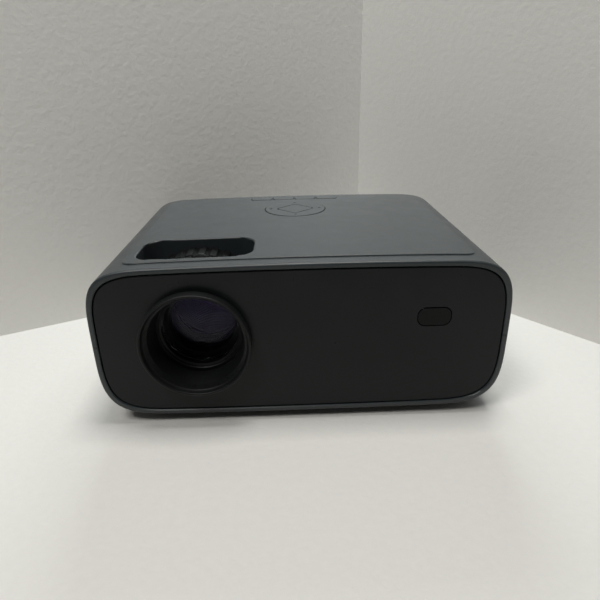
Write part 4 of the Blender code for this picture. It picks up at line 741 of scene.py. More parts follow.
class PROJECTOR_OT_lens(bpy.types.Operator):
    """Focusing barrel with baffle steps, and its three coated elements"""

    bl_idname = "projector.lens"
    bl_label = "Lens"

    def execute(self, context):
        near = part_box("lens_barrel")[0].y
        size = extent("lens_barrel")
        outer = size.x / 2
        length = size.y
        wide = outer - BARREL_WALL
        narrow = wide - BAFFLE_WALL
        groove = wide - RETAINER
        profile = [(outer - 0.0003, 0.0), (outer, 0.0003), (outer, length), (narrow, length)]
        for step in range(BAFFLE_COUNT):
            depth = length - 0.008 - step * (length - 0.009 - SEAT_DEPTH) / BAFFLE_COUNT
            profile += [(narrow, depth), (narrow + 0.0003, depth - 0.0006)]
        profile += [(narrow, SEAT_DEPTH + 0.0005), (narrow + 0.0005, SEAT_DEPTH), (wide, SEAT_DEPTH)]
        profile += [(wide, 0.0034), (groove, 0.0030), (groove, 0.0022), (wide, 0.0016)]
        profile += [(wide, 0.0004), (wide + 0.0004, 0.0)]
        barrel = lathe("lens_barrel", profile, (LENS_X, near, LENS_Z), ALONG_Y, 96)
        dress(barrel, "matt black", "focus_barrel", "black_plastic", "lens_barrel")
        for node, bulge, dish, finish in LENSES:
            size = extent(node)
            profile = glass_profile(size.x / 2, size.y, bulge, dish)
            element = lathe(node, profile, (LENS_X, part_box(node)[0].y, LENS_Z), ALONG_Y, 96)
            dress(element, finish, "focus_barrel", "coated_glass", node)
        return {"FINISHED"}


def ribbed_ring(node, sizes):
    """A ring whose rim has rounded valleys between flat lands, with chamfered ends."""
    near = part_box(node)[0].y
    width = extent(node).y
    count = sizes.rib_count * RIB_STEPS
    chamfer = RING_CHAMFER
    rim = [(0.0, chamfer), (chamfer, 0.0), (width - chamfer, 0.0), (width, chamfer)]
    rows = [(0.0, None), *rim, (width, None), (0.0, None)]
    deselect()
    bpy.ops.mesh.primitive_grid_add(x_subdivisions=count, y_subdivisions=len(rows) - 1, size=1.0)
    piece = name_piece(bpy.context.object, node)
    for number, vertex in enumerate(piece.data.vertices):
        row, column = divmod(number, count + 1)
        depth, inset = rows[row]
        phase = (column % RIB_STEPS) / RIB_STEPS
        valley = max(math.sin(2 * math.pi * (phase - 0.5)), 0.0) ** VALLEY_POWER
        reach = RING_BORE if inset is None else RING_RADIUS - inset - valley * sizes.rib_depth
        angle = 2 * math.pi * column / count
        vertex.co = (LENS_X + reach * math.cos(angle), near + depth, LENS_Z - reach * math.sin(angle))
    return outward(piece)


class PROJECTOR_OT_adjusters(bpy.types.Operator):
    """Focus ring with its rounded finger nub, and keystone ring"""

    bl_idname = "projector.adjusters"
    bl_label = "Adjuster rings"

    def execute(self, context):
        sizes = context.scene.projector_sizes
        root = RING_RADIUS - NUB_ROOT
        shoulder = RING_RADIUS + NUB_RISE / 2
        dome = rounding(1.0, (0.0, 0.0), 0, 90, 8)[:-1]
        profile = [(0.0, root), (NUB_RADIUS, root)]
        profile += [(NUB_RADIUS * x, shoulder + NUB_RISE / 2 * y) for x, y in dome]
        profile.append((0.0, RING_RADIUS + NUB_RISE))
        axis = (math.sin(NUB_TURN), 0.0, math.cos(NUB_TURN))
        for node in ("focus_ring", "keystone_ring"):
            ring = ribbed_ring(node, sizes)
            if node == "focus_ring":
                place = (LENS_X, middle(node).y, LENS_Z)
                combine(ring, lathe("nub", profile, place, axis, 40), "UNION")
            soften(ring, 34)
            dress(ring, "ring plastic with painted shade", node, "black_plastic", node)
        return {"FINISHED"}


def arrow_cutter(number, place):
    """A shallow triangle that marks one direction."""
    deselect()
    bpy.ops.mesh.primitive_cylinder_add(vertices=3, radius=MARK_SIZE, depth=MARK_DEPTH, location=place)
    piece = name_piece(bpy.context.object, "arrow")
    piece.rotation_euler = (0.0, 0.0, -math.pi / 2 * number)
    return settle(piece)


def stem(place):
    """The short round stem under a key."""
    return rod(STEM_RADIUS, 0.0, STEM_HEIGHT, place, steps=24)


class PROJECTOR_OT_keys(bpy.types.Operator):
    """Round direction pad with its arrow marks, diamond centre key and four row keys"""

    bl_idname = "projector.keys"
    bl_label = "Keys"

    def execute(self, context):
        size = extent("nav_ring")
        radius = size.x / 2
        centre = (0.0, middle("nav_ring").y)
        profile = [(0.0, 0.0), (radius, 0.0)]
        profile += rounding(KEY_EDGE, (radius - KEY_EDGE, size.z - KEY_EDGE), 0, 90, 4)
        profile.append((0.0, size.z))
        pad = lathe("direction_pad", profile, (*centre, PAD_LOW.z), steps=96)
        half = extent("key_ok").x / 2
        side = (half + OK_CORNER * (math.sqrt(2) - 1)) * math.sqrt(2)
        diamond = Matrix.Rotation(math.pi / 4, 4, "Z")
        origin = (0.0, 0.0, 0.0)
        hole = bar("diamond", (side + 2 * GAP, side + 2 * GAP, OK_CUT), origin, "Z", OK_CORNER + GAP, 6)
        hole.data.transform(Matrix.Translation((*centre, PAD_HIGH.z)) @ diamond)
        combine(pad, hole)
        level = PAD_HIGH.z - KEY_RIM_DEPTH / 2
        soft_rim(pad, level, lambda co: math.hypot(co.x, co.y - centre[1]) < half + 0.001, KEY_EDGE)
        for number, (across, along) in enumerate(((0, 1), (1, 0), (0, -1), (-1, 0))):
            spot = (across * MARK_REACH, centre[1] + along * MARK_REACH, PAD_HIGH.z)
            combine(pad, arrow_cutter(number, spot))
        soften(pad, 30)
        dress(pad, "key plastic", "pad", "key_plastic", "nav_ring")
        low = PAD_LOW.z + KEY_TRAVEL
        key = bar("centre_key", (side, side, PAD_HIGH.z - low), origin, "Z", OK_CORNER, 6, KEY_EDGE, 3)
        key.data.transform(Matrix.Translation((*centre, (low + PAD_HIGH.z) / 2)) @ diamond)
        combine(key, stem((*centre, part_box("key_ok")[0].z)), "UNION")
        soften(key, 30)
        dress(key, "key plastic", "ok_key", "key_plastic", "key_ok")
        nodes = ["key_" + name for name in ROW_KEYS]
        low = PAD_LOW.z
        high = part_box(nodes[0])[1].z
        size = extent(nodes[0])
        place = (*middle(nodes[0]).xy, (high + low) / 2)
        key = bar("power_key", (size.x, size.y, high - low), place, "Z", KEY_CORNER, 5, KEY_EDGE, 3)
        combine(key, stem(under(nodes[0])), "UNION")
        soften(key, 30)
        names = [name + "_key" for name in ROW_KEYS]
        for key, name, node in zip(with_copies(key, nodes, names), names, nodes):
            dress(key, "key plastic", name, "key_plastic", node)
        return {"FINISHED"}


def with_copies(piece, nodes, names):
    """A piece that was modelled at the first node, and its copies at the other nodes."""
    start = under(nodes[0])
    return [piece] + [copy_of(piece, name, under(node) - start) for node, name in zip(nodes[1:], names[1:])]


def grid_turned(name, count, rows, radius_at, depth_at, centre):
    """A round solid along Z from a grid, whose radius changes with angle and row. Its ends are filled."""
    deselect()
    bpy.ops.mesh.primitive_grid_add(x_subdivisions=count, y_subdivisions=rows, size=1.0)
    piece = name_piece(bpy.context.object, name)
    for number, vertex in enumerate(piece.data.vertices):
        row, column = divmod(number, count + 1)
        angle = 2 * math.pi * column / count
        reach = radius_at(column % count, row)
        vertex.co = centre + Vector((reach * math.cos(angle), reach * math.sin(angle), depth_at(row)))
    with editing(piece):
        bpy.ops.mesh.select_all(action="SELECT")
        bpy.ops.mesh.remove_doubles(threshold=MERGE / 2)
        for end in (0, rows):
            level = centre.z + depth_at(end)
            need(pick(piece, "EDGE", lambda e: e.is_boundary and level_with(e, 2, level, 1e-5)), name + " end")
            bpy.ops.mesh.edge_face_add()
        bpy.ops.mesh.select_all(action="SELECT")
        bpy.ops.mesh.normals_make_consistent(inside=False)
    return piece


class PROJECTOR_OT_feet(bpy.types.Operator):
    """Four rubber feet, the tilt foot's knurled knob and its threaded stud"""

    bl_idname = "projector.feet"
    bl_label = "Feet"

    def execute(self, context):
        sizes = context.scene.projector_sizes
        size = extent(FEET[0])
        radius = size.x / 2
        profile = [(0.0, 0.0006), (radius * 0.38, 0.0006), (radius * 0.42, 0.0002), (radius * 0.46, 0.0)]
        profile += rounding(FOOT_EDGE, (radius - FOOT_EDGE, FOOT_EDGE), 270, 360, 5)
        profile += [(radius, size.z), (0.0, size.z)]
        foot = lathe(FEET[0], profile, under(FEET[0]), steps=56)
        for foot, node in zip(with_copies(foot, FEET, FEET), FEET):
            dress(foot, "rubber", "housing", "rubber", node)
        size = extent("tilt_knob")
        centre = under("tilt_knob")
        height = size.z
        levels = [(0.0, 0.0009), (0.0003, 0.0003), (0.0008, 0.0)]
        levels += [(height - 0.0006, 0.0), (height - 0.0002, 0.0002), (height, 0.0006)]

        def knob_radius(column, row):
            groove = max(math.cos(2 * math.pi * column / GRIP_STEPS), 0.0) * GRIP_DEPTH
            return size.x / 2 - levels[row][1] - (groove if 0 < row < len(levels) - 1 else GRIP_DEPTH)

        count = GRIP_COUNT * GRIP_STEPS
        knob = grid_turned("tilt_knob", count, len(levels) - 1, knob_radius, lambda row: levels[row][0], centre)
        dish = [(0.0, -0.001), (0.0062, -0.001), (0.0056, 0.0005), (0.0, 0.0005)]
        combine(knob, lathe("dish", dish, centre, steps=48))
        stud_size = extent("tilt_stud")
        stud_place = under("tilt_stud")
        reach = stud_size.x / 2
        length = stud_size.z
        start = (centre.x, centre.y, stud_place.z - GAP)
        combine(knob, rod(reach + GAP, 0.0, SOCKET_DEPTH, start, steps=32))
        soften(knob, 34)
        dress(knob, "matt black", "foot_knob", "black_plastic", "tilt_knob")
        rows = int(length / sizes.thread_pitch * THREAD_ROWS)

        def thread_radius(column, row):
            turn = (row / THREAD_ROWS - column / THREAD_COLUMNS) % 1.0
            crest = 1.0 - abs(2 * turn - 1.0)
            fade = min(row / THREAD_ROWS, (rows - row) / THREAD_ROWS, 1.0)
            return reach - THREAD_DEPTH + THREAD_DEPTH * crest * fade

        def thread_height(row):
            return length * row / rows

        stud = grid_turned("tilt_stud", THREAD_COLUMNS, rows, thread_radius, thread_height, stud_place)
        soften(stud, 50)
        dress(stud, "steel", "foot_stud", "steel", "tilt_stud")
        return {"FINISHED"}


class PROJECTOR_OT_screws(bpy.types.Operator):
    """Four case screws with a cross recess, deep in their wells"""

    bl_idname = "projector.screws"
    bl_label = "Case screws"

    def execute(self, context):
        size = extent(SCREWS[0])
        head = size.x / 2
        centre = under(SCREWS[0])
        shank = 0.0012
        seat = 0.0018
        rim = head - SCREW_EDGE
        profile = [(0.0, 0.0), (rim, 0.0)] + rounding(SCREW_EDGE, (rim, SCREW_EDGE), 270, 360, 4)
        profile += [(head, seat), (shank, seat), (shank, size.z - shank), (0.0, size.z)]
        screw = lathe(SCREWS[0], profile, centre, steps=32)
        for across, along in ((0.0026, 0.0007), (0.0007, 0.0026)):
            combine(screw, bar("recess", (across, along, seat), centre))
        soften(screw, 34)
        for screw, node in zip(with_copies(screw, SCREWS, SCREWS), SCREWS):
            dress(screw, "steel", "housing", "steel", node)
        return {"FINISHED"}


class PROJECTOR_OT_rear_panel(bpy.types.Operator):
    """Rear panel with vent slots and the openings of the sockets"""

    bl_idname = "projector.rear_panel"
    bl_label = "Rear panel"

    def execute(self, context):
        low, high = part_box("rear_panel")
        face = high.y
        panel = flat_panel("rear_panel", face, low.y)
        for node, corner in REAR_OPENINGS:
            low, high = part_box(node)
            start = (low.x - GAP, face - PANEL_CUT, low.z - GAP)
            box_cut(panel, start, (high.x + GAP, face + PANEL_CUT, high.z + GAP), corner)
        centre = middle("av_jack")
        radius = extent("av_jack").x / 2 + GAP
        combine(panel, rod(radius, -PANEL_CUT, PANEL_CUT, (centre.x, face, centre.z), ALONG_Y))
        columns = [LENS_X + VENT_PITCH * (step - (REAR_VENT_COUNT - 1) / 2) for step in range(REAR_VENT_COUNT)]
        places = [(x, face, LENS_Z) for x in columns]
        cut_slots(panel, places, (VENT_WIDTH, 2 * PANEL_CUT, REAR_VENT_HEIGHT), "Y")
        soften(panel, 28)
        dress(panel, "panel plastic", "housing", "panel_plastic", "rear_panel")
        return {"FINISHED"}


def metal_socket(name, node, wall, mouth_corner, tongue=None, contacts=0):
    """A folded metal socket, and where it has one, its plastic tongue with gold contacts."""
    low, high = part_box(node)
    size = extent(node)
    centre = middle(node)
    floor = low.y + SOCKET_FLOOR
    body = bar(name, size, centre, "Y", wall, 3)
    start = (low.x + wall, floor, low.z + wall)
    box_cut(body, start, (high.x - wall, high.y + 0.001, high.z - wall), mouth_corner)
    soften(body, 34)
    dress(body, "socket metal", "housing", "steel", node)
    if not tongue:
        return
    across, thick = tongue
    length = size.y - 0.0026
    depth = floor + length / 2
    blade = bar(name + "_tongue", (across, length, thick), (centre.x, depth, centre.z), "Z", 0.0003, 2)
    dress(blade, "matt black", "housing", "black_plastic")
    pitch = across / (contacts + 1)
    columns = [centre.x + (step - (contacts - 1) / 2) * pitch for step in range(contacts)]
    height = centre.z - thick / 2 - CONTACT_THICKNESS / 3
    strip = (pitch * 0.5, size.y - 0.004, CONTACT_THICKNESS)
    gold = merged([bar("contact", strip, (x, depth, height)) for x in columns], name + "_contacts")
    dress(gold, "contact gold", "housing", "steel")


class PROJECTOR_OT_sockets(bpy.types.Operator):
    """Video, data and card sockets, sound jack and power inlet"""

    bl_idname = "projector.sockets"
    bl_label = "Sockets"

    def execute(self, context):
        metal_socket("video_socket", "hdmi_socket", 0.0005, 0.0009, (0.0114, 0.0012), 10)
        metal_socket("data_socket", "usb_socket", 0.0005, 0.0003, (0.0106, 0.0017), 4)
        metal_socket("card_socket", "card_slot", 0.0004, 0.0002)
        size = extent("av_jack")
        centre = middle("av_jack")
        radius = size.x / 2
        floor = size.y - 0.0012
        profile = rounding(JACK_EDGE, (radius - JACK_EDGE, JACK_EDGE), 360, 270, 3)
        profile += [(0.0024, 0.0), (0.0022, JACK_EDGE), (JACK_BORE, JACK_EDGE)]
        profile += [(JACK_BORE, floor), (0.0, floor), (0.0, size.y), (radius, size.y)]
        place = (centre.x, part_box("av_jack")[1].y, centre.z)
        jack = lathe("sound_jack", profile, place, (0.0, -1.0, 0.0), 40)
        dress(jack, "matt black", "housing", "black_plastic", "av_jack")
        centre = middle("power_inlet")
        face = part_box("power_inlet")[1].y
        inlet = bar("power_inlet", extent("power_inlet"), centre, "Y", 0.0006, 3, 0.0003, 2)
        mouth = (0.0165, INLET_DEPTH + 0.002, 0.0092)
        place = (centre.x, face - INLET_DEPTH / 2 + 0.001, centre.z)
        combine(inlet, bar("mouth", mouth, place, "Y", 0.0044, 8))
        soften(inlet, 30)
        dress(inlet, "matt black", "housing", "black_plastic", "power_inlet")
        profile = [(0.0, 0.0), (0.0012, 0.0), (0.0012, 0.0084), (0.0008, 0.0090), (0.0, 0.0091)]
        spot = (centre.x - PIN_REACH, face - INLET_DEPTH, centre.z)
        pin = lathe("inlet_pin_1", profile, spot, ALONG_Y, 20)
        other = copy_of(pin, "inlet_pin_2", Vector((2 * PIN_REACH, 0.0, 0.0)))
        dress(pin, "socket metal", "housing", "steel")
        dress(other, "socket metal", "housing", "steel")
        return {"FINISHED"}


INNER_PIECES = {
    "matt black": (
        "lens_mount", "engine_housing", "lcd_frame", "exhaust_fan_frame", "intake_fan_frame", "speaker_frame",
    ),
    "grooved acrylic": ("front_fresnel", "rear_fresnel"),
    "display glass": ("lcd_panel",),
    "clear glass": ("condenser_lens",),
    "aluminium": ("led_board", "heatsink"),
    "fan plastic": ("exhaust_fan_rotor", "intake_fan_rotor"),
    "rubber": ("nav_pivot",),
    "circuit board": ("key_board", "power_board", "main_board", "signal_board"),
    "winding tape": ("transformer",),
    "capacitor sleeve": ("capacitor",),
    "paper cone": ("speaker_cone",),
}


class PROJECTOR_OT_inside(bpy.types.Operator):
    """Finishes of the frame's own pieces that stay, mostly behind the vents"""

    bl_idname = "projector.inside"
    bl_label = "Inner pieces"

    def execute(self, context):
        for finish, nodes in INNER_PIECES.items():
            for node in nodes:
                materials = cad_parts[node].data.materials
                materials.clear()
                materials.append(FINISHES[finish])
        return {"FINISHED"}


FINISHES = {}


class Shader:
    """A material's node tree under construction."""

    def __init__(self, name):
        self.material = bpy.data.materials.new(name)
        self.material.use_nodes = True
        self.tree = self.material.node_tree
        self.surface = self.tree.nodes["Principled BSDF"]
        self.place = self.add("ShaderNodeTexCoord").outputs["Object"]

    def add(self, kind, settings=None, **values):
        """A new node with its own values and the defaults of its inputs."""
        node = self.tree.nodes.new(kind)
        for key, value in values.items():
            setattr(node, key, value)
        for key, value in (settings or {}).items():
            node.inputs[key].default_value = value
        return node

    def link(self, source, target):
        self.tree.links.new(source, target)

    def drive(self, name, source):
        """Links a value to an input of the surface."""
        self.link(source, self.surface.inputs[name])

    def noise(self, size, detail=3.0, roughness=0.55, stretch=None, distortion=0.0):
        """A noise whose grains are about size metres wide."""
        settings = {"Scale": 1.0 / size, "Detail": detail, "Roughness": roughness, "Distortion": distortion}
        node = self.add("ShaderNodeTexNoise", settings)
        source = self.place
        if stretch:
            mapping = self.add("ShaderNodeMapping", {"Scale": stretch})
            self.link(source, mapping.inputs["Vector"])
            source = mapping.outputs["Vector"]
        self.link(source, node.inputs["Vector"])
        return node.outputs["Fac"]

    def span(self, value, low, high, into_low=0.3, into_high=0.7):
        """Maps the middle of a noise onto low to high."""
        settings = {"From Min": into_low, "From Max": into_high, "To Min": low, "To Max": high}
        node = self.add("ShaderNodeMapRange", settings)
        self.link(value, node.inputs["Value"])
        return node.outputs["Result"]

    def blend(self, share, first, second):
        """A mix of two colours by a share. A colour may be a tuple or a socket."""
        node = self.add("ShaderNodeMix", data_type="RGBA")
        self.link(share, node.inputs["Factor"])
        for socket, colour in ((node.inputs[6], first), (node.inputs[7], second)):
            if isinstance(colour, tuple):
                socket.default_value = (*colour, 1.0)
            else:
                self.link(colour, socket)
        return node.outputs[2]

    def edge_wear(self, radius=0.0006):
        """Close to 1 along worn outer edges, 0 elsewhere."""
        soft = self.add("ShaderNodeBevel", {"Radius": radius}, samples=4)
        hard = self.add("ShaderNodeNewGeometry")
        product = self.add("ShaderNodeVectorMath", operation="DOT_PRODUCT")
        self.link(soft.outputs["Normal"], product.inputs[0])
        self.link(hard.outputs["Normal"], product.inputs[1])
        return self.span(product.outputs["Value"], 1.0, 0.0, 0.86, 0.995)

    def bump(self, height, distance):
        """Relief of that depth in metres."""
        node = self.add("ShaderNodeBump", {"Distance": distance, "Strength": 1.0})
        self.link(height, node.inputs["Height"])
        self.drive("Normal", node.outputs["Normal"])

    def arithmetic(self, operation, first, second):
        """One step of arithmetic on two values. Each may be a number or a socket."""
        node = self.add("ShaderNodeMath", operation=operation)
        for socket, value in zip(node.inputs, (first, second)):
            if isinstance(value, (int, float)):
                socket.default_value = value
            else:
                self.link(value, socket)
        return node.outputs["Value"]

    def set(self, name, value):
        self.surface.inputs[name].default_value = value


def tint(colour, factor):
    """A colour made lighter or darker."""
    return tuple(channel * factor for channel in colour)


def moulded(name, colour, roughness, grain=0.00035, depth=0.00001, wear=0.35, specular=0.5, dust=0.0):
    """Moulded plastic: spark-eroded grain, faint flow mottling, glossy worn edges and a little dust."""
    shader = Shader(name)
    mottle = shader.span(shader.noise(0.03, 4.0), 0.0, 1.0)
    base = shader.blend(mottle, tint(colour, 0.95), tint(colour, 1.05))
    smears = shader.span(shader.noise(0.018, 5.0, 0.6, distortion=0.6), roughness - 0.05, roughness + 0.06)
    if wear:
        scuffs = shader.span(shader.noise(0.003, 5.0, 0.7), 0.0, 1.0, 0.38, 0.62)
        worn = shader.arithmetic("MULTIPLY", shader.edge_wear(), scuffs)
        base = shader.blend(shader.arithmetic("MULTIPLY", worn, wear), base, tint(colour, 2.4))
        gloss = shader.arithmetic("MULTIPLY", worn, roughness * 0.6)
        smears = shader.arithmetic("SUBTRACT", smears, gloss)
    if dust:
        specks = shader.span(shader.noise(0.0011, 2.0, 0.5), 0.0, dust, 0.74, 0.80)
        base = shader.blend(specks, base, (0.30, 0.30, 0.29))
    shader.drive("Base Color", base)
    shader.drive("Roughness", smears)
    shader.set("Specular IOR Level", specular)
    shader.bump(shader.noise(grain, 3.0, 0.6), depth)
    return shader.material


def metal(name, colour, roughness, stretch, depth=0.00001):
    """Metal with drawn or brushed lines and duller patches."""
    shader = Shader(name)
    lines = shader.noise(0.0006, 4.0, 0.6, stretch)
    share = shader.span(lines, 0.0, 1.0)
    shader.drive("Base Color", shader.blend(share, tint(colour, 0.86), tint(colour, 1.08)))
    shader.set("Metallic", 1.0)
    shader.drive("Roughness", shader.span(shader.noise(0.006, 4.0), roughness - 0.07, roughness + 0.10))
    shader.bump(lines, depth)
    return shader.material


def rubber_finish(name, colour):
    """Rubber with a dull bloom and a fine pebble grain."""
    shader = Shader(name)
    bloom = shader.span(shader.noise(0.006, 5.0, 0.65), 0.0, 0.5)
    shader.drive("Base Color", shader.blend(bloom, colour, tint(colour, 2.6)))
    shader.drive("Roughness", shader.span(shader.noise(0.003), 0.72, 0.9))
    shader.bump(shader.noise(0.0005, 2.0), 0.00004)
    return shader.material


def glass_finish(name, colour, coating, roughness=0.03, index=1.5):
    """Clear element with a coloured coating and faint dust."""
    shader = Shader(name)
    dust = shader.span(shader.noise(0.0012, 4.0), 0.0, 1.0, 0.62, 0.8)
    shader.drive("Base Color", shader.blend(dust, colour, tint(colour, 0.85)))
    shader.drive("Roughness", shader.span(shader.noise(0.004, 3.0), roughness * 0.5, roughness * 2))
    shader.set("Transmission Weight", 1.0)
    shader.set("IOR", index)
    shader.set("Specular Tint", (*coating, 1.0))
    shader.bump(shader.noise(0.02, 1.0), 0.000002)
    return shader.material


def board_finish(name, colour):
    """Solder mask with tracks under it and tinned pads."""
    shader = Shader(name)
    shades = zip(("Color1", "Color2", "Mortar"), (1.0, 1.25, 1.9))
    settings = {key: (*tint(colour, factor), 1.0) for key, factor in shades}
    tracks = shader.add("ShaderNodeTexBrick", {"Scale": 180.0, "Mortar Size": 0.03, **settings})
    shader.link(shader.place, tracks.inputs["Vector"])
    pads = shader.add("ShaderNodeTexVoronoi", {"Scale": 320.0})
    shader.link(shader.place, pads.inputs["Vector"])
    tinned = shader.span(pads.outputs["Distance"], 1.0, 0.0, 0.10, 0.16)
    shader.drive("Base Color", shader.blend(tinned, tracks.outputs["Color"], (0.52, 0.52, 0.50)))
    shader.drive("Roughness", shader.span(tinned, 0.42, 0.25, 0.0, 1.0))
    shader.bump(tracks.outputs["Fac"], 0.00003)
    return shader.material


def ringed_finish(name, colour, roughness, pitch, centre, transmission, axis):
    """Fine rings round an axis, as on a grooved sheet or a paper cone."""
    shader = Shader(name)
    mapping = shader.add("ShaderNodeMapping", {"Location": tuple(-value for value in centre)})
    shader.link(shader.place, mapping.inputs["Vector"])
    scale = {"Scale": WAVE_SCALE / pitch}
    waves = shader.add("ShaderNodeTexWave", scale, wave_type="RINGS", rings_direction=axis)
    shader.link(mapping.outputs["Vector"], waves.inputs["Vector"])
    share = shader.span(shader.noise(0.008), 0.0, 1.0)
    shader.drive("Base Color", shader.blend(share, tint(colour, 0.9), tint(colour, 1.06)))
    shader.drive("Roughness", shader.span(shader.noise(0.005), roughness * 0.8, roughness * 1.3))
    shader.set("Transmission Weight", transmission)
    shader.bump(waves.outputs["Fac"], pitch * 0.2)
    return shader.material


def banded_finish(name, colour, roughness, pitch, direction):
    """Bands along one direction, as of wound tape or a shrunk sleeve."""
    shader = Shader(name)
    scale = {"Scale": WAVE_SCALE / pitch, "Distortion": 1.2}
    waves = shader.add("ShaderNodeTexWave", scale, wave_type="BANDS", bands_direction=direction)
    shader.link(shader.place, waves.inputs["Vector"])
    shader.drive("Base Color", shader.blend(waves.outputs["Fac"], tint(colour, 0.8), tint(colour, 1.1)))
    shader.drive("Roughness", shader.span(shader.noise(0.004), roughness - 0.06, roughness + 0.08))
    shader.bump(waves.outputs["Fac"], pitch * 0.06)
    return shader.material


class PROJECTOR_OT_finishes(bpy.types.Operator):
    """All the materials of the projector"""

    bl_idname = "projector.finishes"
    bl_label = "Materials"

    def execute(self, context):
        colours = context.scene.projector_colours
        casing = tuple(colours.casing)
        panel = tuple(colours.panel)
        black = tuple(colours.black)
        lens_axis = (LENS_X, 0.0, LENS_Z)
        cone = tuple(middle("speaker_cone"))
        FINISHES.update({
            "shell plastic": moulded("casing plastic", casing, 0.40, dust=0.35),
            # Panel plastic is the casing's plastic with a much darker colour: painted shade on the front panel,
            # which the lamps barely reach.
            "panel plastic": moulded("panel plastic", panel, 0.32, 0.0003, 0.000006, 0.2, 0.2, 0.12),
            "key plastic": moulded("key plastic", casing, 0.42, 0.0003, 0.000008, 0.3),
            "matt black": moulded("black plastic", black, 0.5, 0.0004, 0.000012, 0.5, 0.22),
            # Ring plastic is the black plastic darkened to 0.4 of its colour: black rings, with painted shade
            # for the rings deep in the focus window.
            "ring plastic with painted shade": moulded("ring plastic with painted shade", tint(black, 0.4), 0.6, 0.0004, 0.000010, 0.4, 0.08),
            "fan plastic": moulded("fan plastic", tint(black, 1.6), 0.38, 0.0005, 0.000008, 0.4),
            "smoked window": moulded("smoked window", tint(black, 0.5), 0.16, 0.006, 0.000004, 0.0, 0.14),
            "rubber": rubber_finish("rubber", tuple(colours.rubber)),
            "steel": metal("plated steel", (0.46, 0.47, 0.49), 0.30, (1.0, 1.0, 8.0)),
            "socket metal": metal("socket metal", (0.50, 0.50, 0.50), 0.26, (1.0, 6.0, 1.0), 0.000004),
            "contact gold": metal("contact gold", (0.80, 0.56, 0.22), 0.22, (1.0, 5.0, 1.0), 0.000002),
            "aluminium": metal("extruded aluminium", (0.60, 0.61, 0.63), 0.36, (1.0, 1.0, 0.1)),
            "coated glass": glass_finish("coated glass", (0.93, 0.93, 0.98), (0.80, 0.82, 1.0), 0.02, 1.22),
            "inner glass": glass_finish("inner glass", (0.90, 0.88, 0.96), tuple(colours.coating), 0.02, 1.16),
            "clear glass": glass_finish("clear glass", (0.95, 0.96, 0.96), (1.0, 1.0, 1.0)),
            "display glass": glass_finish("display glass", (0.16, 0.16, 0.18), (0.6, 0.7, 1.0)),
            "circuit board": board_finish("circuit board", tuple(colours.board)),
            "grooved acrylic": ringed_finish(
                "grooved acrylic", (0.80, 0.83, 0.84), 0.12, 0.0008, lens_axis, 0.7, "Y"
            ),
            "paper cone": ringed_finish("paper cone", (0.045, 0.044, 0.042), 0.8, 0.0016, cone, 0.0, "X"),
            "winding tape": banded_finish("winding tape", (0.50, 0.33, 0.05), 0.40, 0.0022, "Z"),
            "capacitor sleeve": banded_finish("capacitor sleeve", (0.014, 0.015, 0.020), 0.32, 0.005, "X"),
        })
        return {"FINISHED"}


# Camera fitted to the photograph
CAMERA_PLACE = (-0.0057, FRONT_Y - 0.22969, BASE_Z + 0.16509)
CAMERA_YAW = math.radians(1.30)
CAMERA_PITCH = math.radians(23.63)
CAMERA_ROLL = math.radians(1.22)
CAMERA_SENSOR = 36.0
CAMERA_LENS = 516.18 / 600 * CAMERA_SENSOR

# Stage
FLOOR_EDGE = -0.42
FLOOR_REACH = 3.0
WALL_CORNER = (0.062, 0.182)
LEFT_END = (-1.5, -0.626)
RIGHT_END = (0.9, -0.926)
WALL_HEIGHT = 1.4
WARM_WHITE = (1.0, 0.99, 0.96)
COOL_WHITE = (0.92, 0.99, 1.0)
WORLD_COLOUR = (0.80, 0.80, 0.78, 1.0)
WORLD_LIGHT = 0.07
WORLD_SEEN = 0.4


def backdrop(name, corners, finish):
    """One flat wall of the backdrop, seen from its front only."""
    deselect()
    bpy.ops.mesh.primitive_plane_add(size=1.0)
    piece = name_piece(bpy.context.object, name)
    for vertex, index in zip(piece.data.vertices, (0, 1, 3, 2)):
        vertex.co = corners[index]
    piece.data.materials.append(finish)
    return piece


def floor_part(name, near, far, finish):
    """A strip of the floor between two depths."""
    side = FLOOR_REACH
    return backdrop(name, [(-side, near, 0.0), (side, near, 0.0), (side, far, 0.0), (-side, far, 0.0)], finish)


def wall_part(name, start, end, finish):
    """An upright wall between two points of the floor, which casts no shadow and gives no light."""
    corners = [(*start, 0.0), (*end, 0.0), (*end, WALL_HEIGHT), (*start, WALL_HEIGHT)]
    wall = backdrop(name, corners, finish)
    wall.visible_shadow = False
    wall.visible_diffuse = False


def wall_finish(name, colour):
    """Pale painted wall that shows from its front only."""
    shader = Shader(name)
    stipple = shader.noise(0.004, 3.0)
    share = shader.span(stipple, 0.0, 1.0)
    shader.drive("Base Color", shader.blend(share, tint(colour, 0.985), tint(colour, 1.01)))
    shader.set("Roughness", 0.7)
    shader.bump(stipple, 0.0003)
    seen_side = shader.add("ShaderNodeNewGeometry")
    clear = shader.add("ShaderNodeBsdfTransparent")
    mix = shader.add("ShaderNodeMixShader")
    shader.link(seen_side.outputs["Backfacing"], mix.inputs["Fac"])
    shader.link(shader.surface.outputs["BSDF"], mix.inputs[1])
    shader.link(clear.outputs["BSDF"], mix.inputs[2])
    shader.link(mix.outputs["Shader"], shader.tree.nodes["Material Output"].inputs["Surface"])
    return shader.material


def lamp(name, place, target, size, power, colour):
    """A soft square lamp aimed at a point."""
    deselect()
    bpy.ops.object.light_add(type="AREA", location=place)
    light = bpy.context.object
    light.name = name
    light.data.size = size
    light.data.energy = power
    light.data.color = colour
    aim = Vector(target) - Vector(place)
    light.rotation_euler = aim.to_track_quat("-Z", "Y").to_euler()


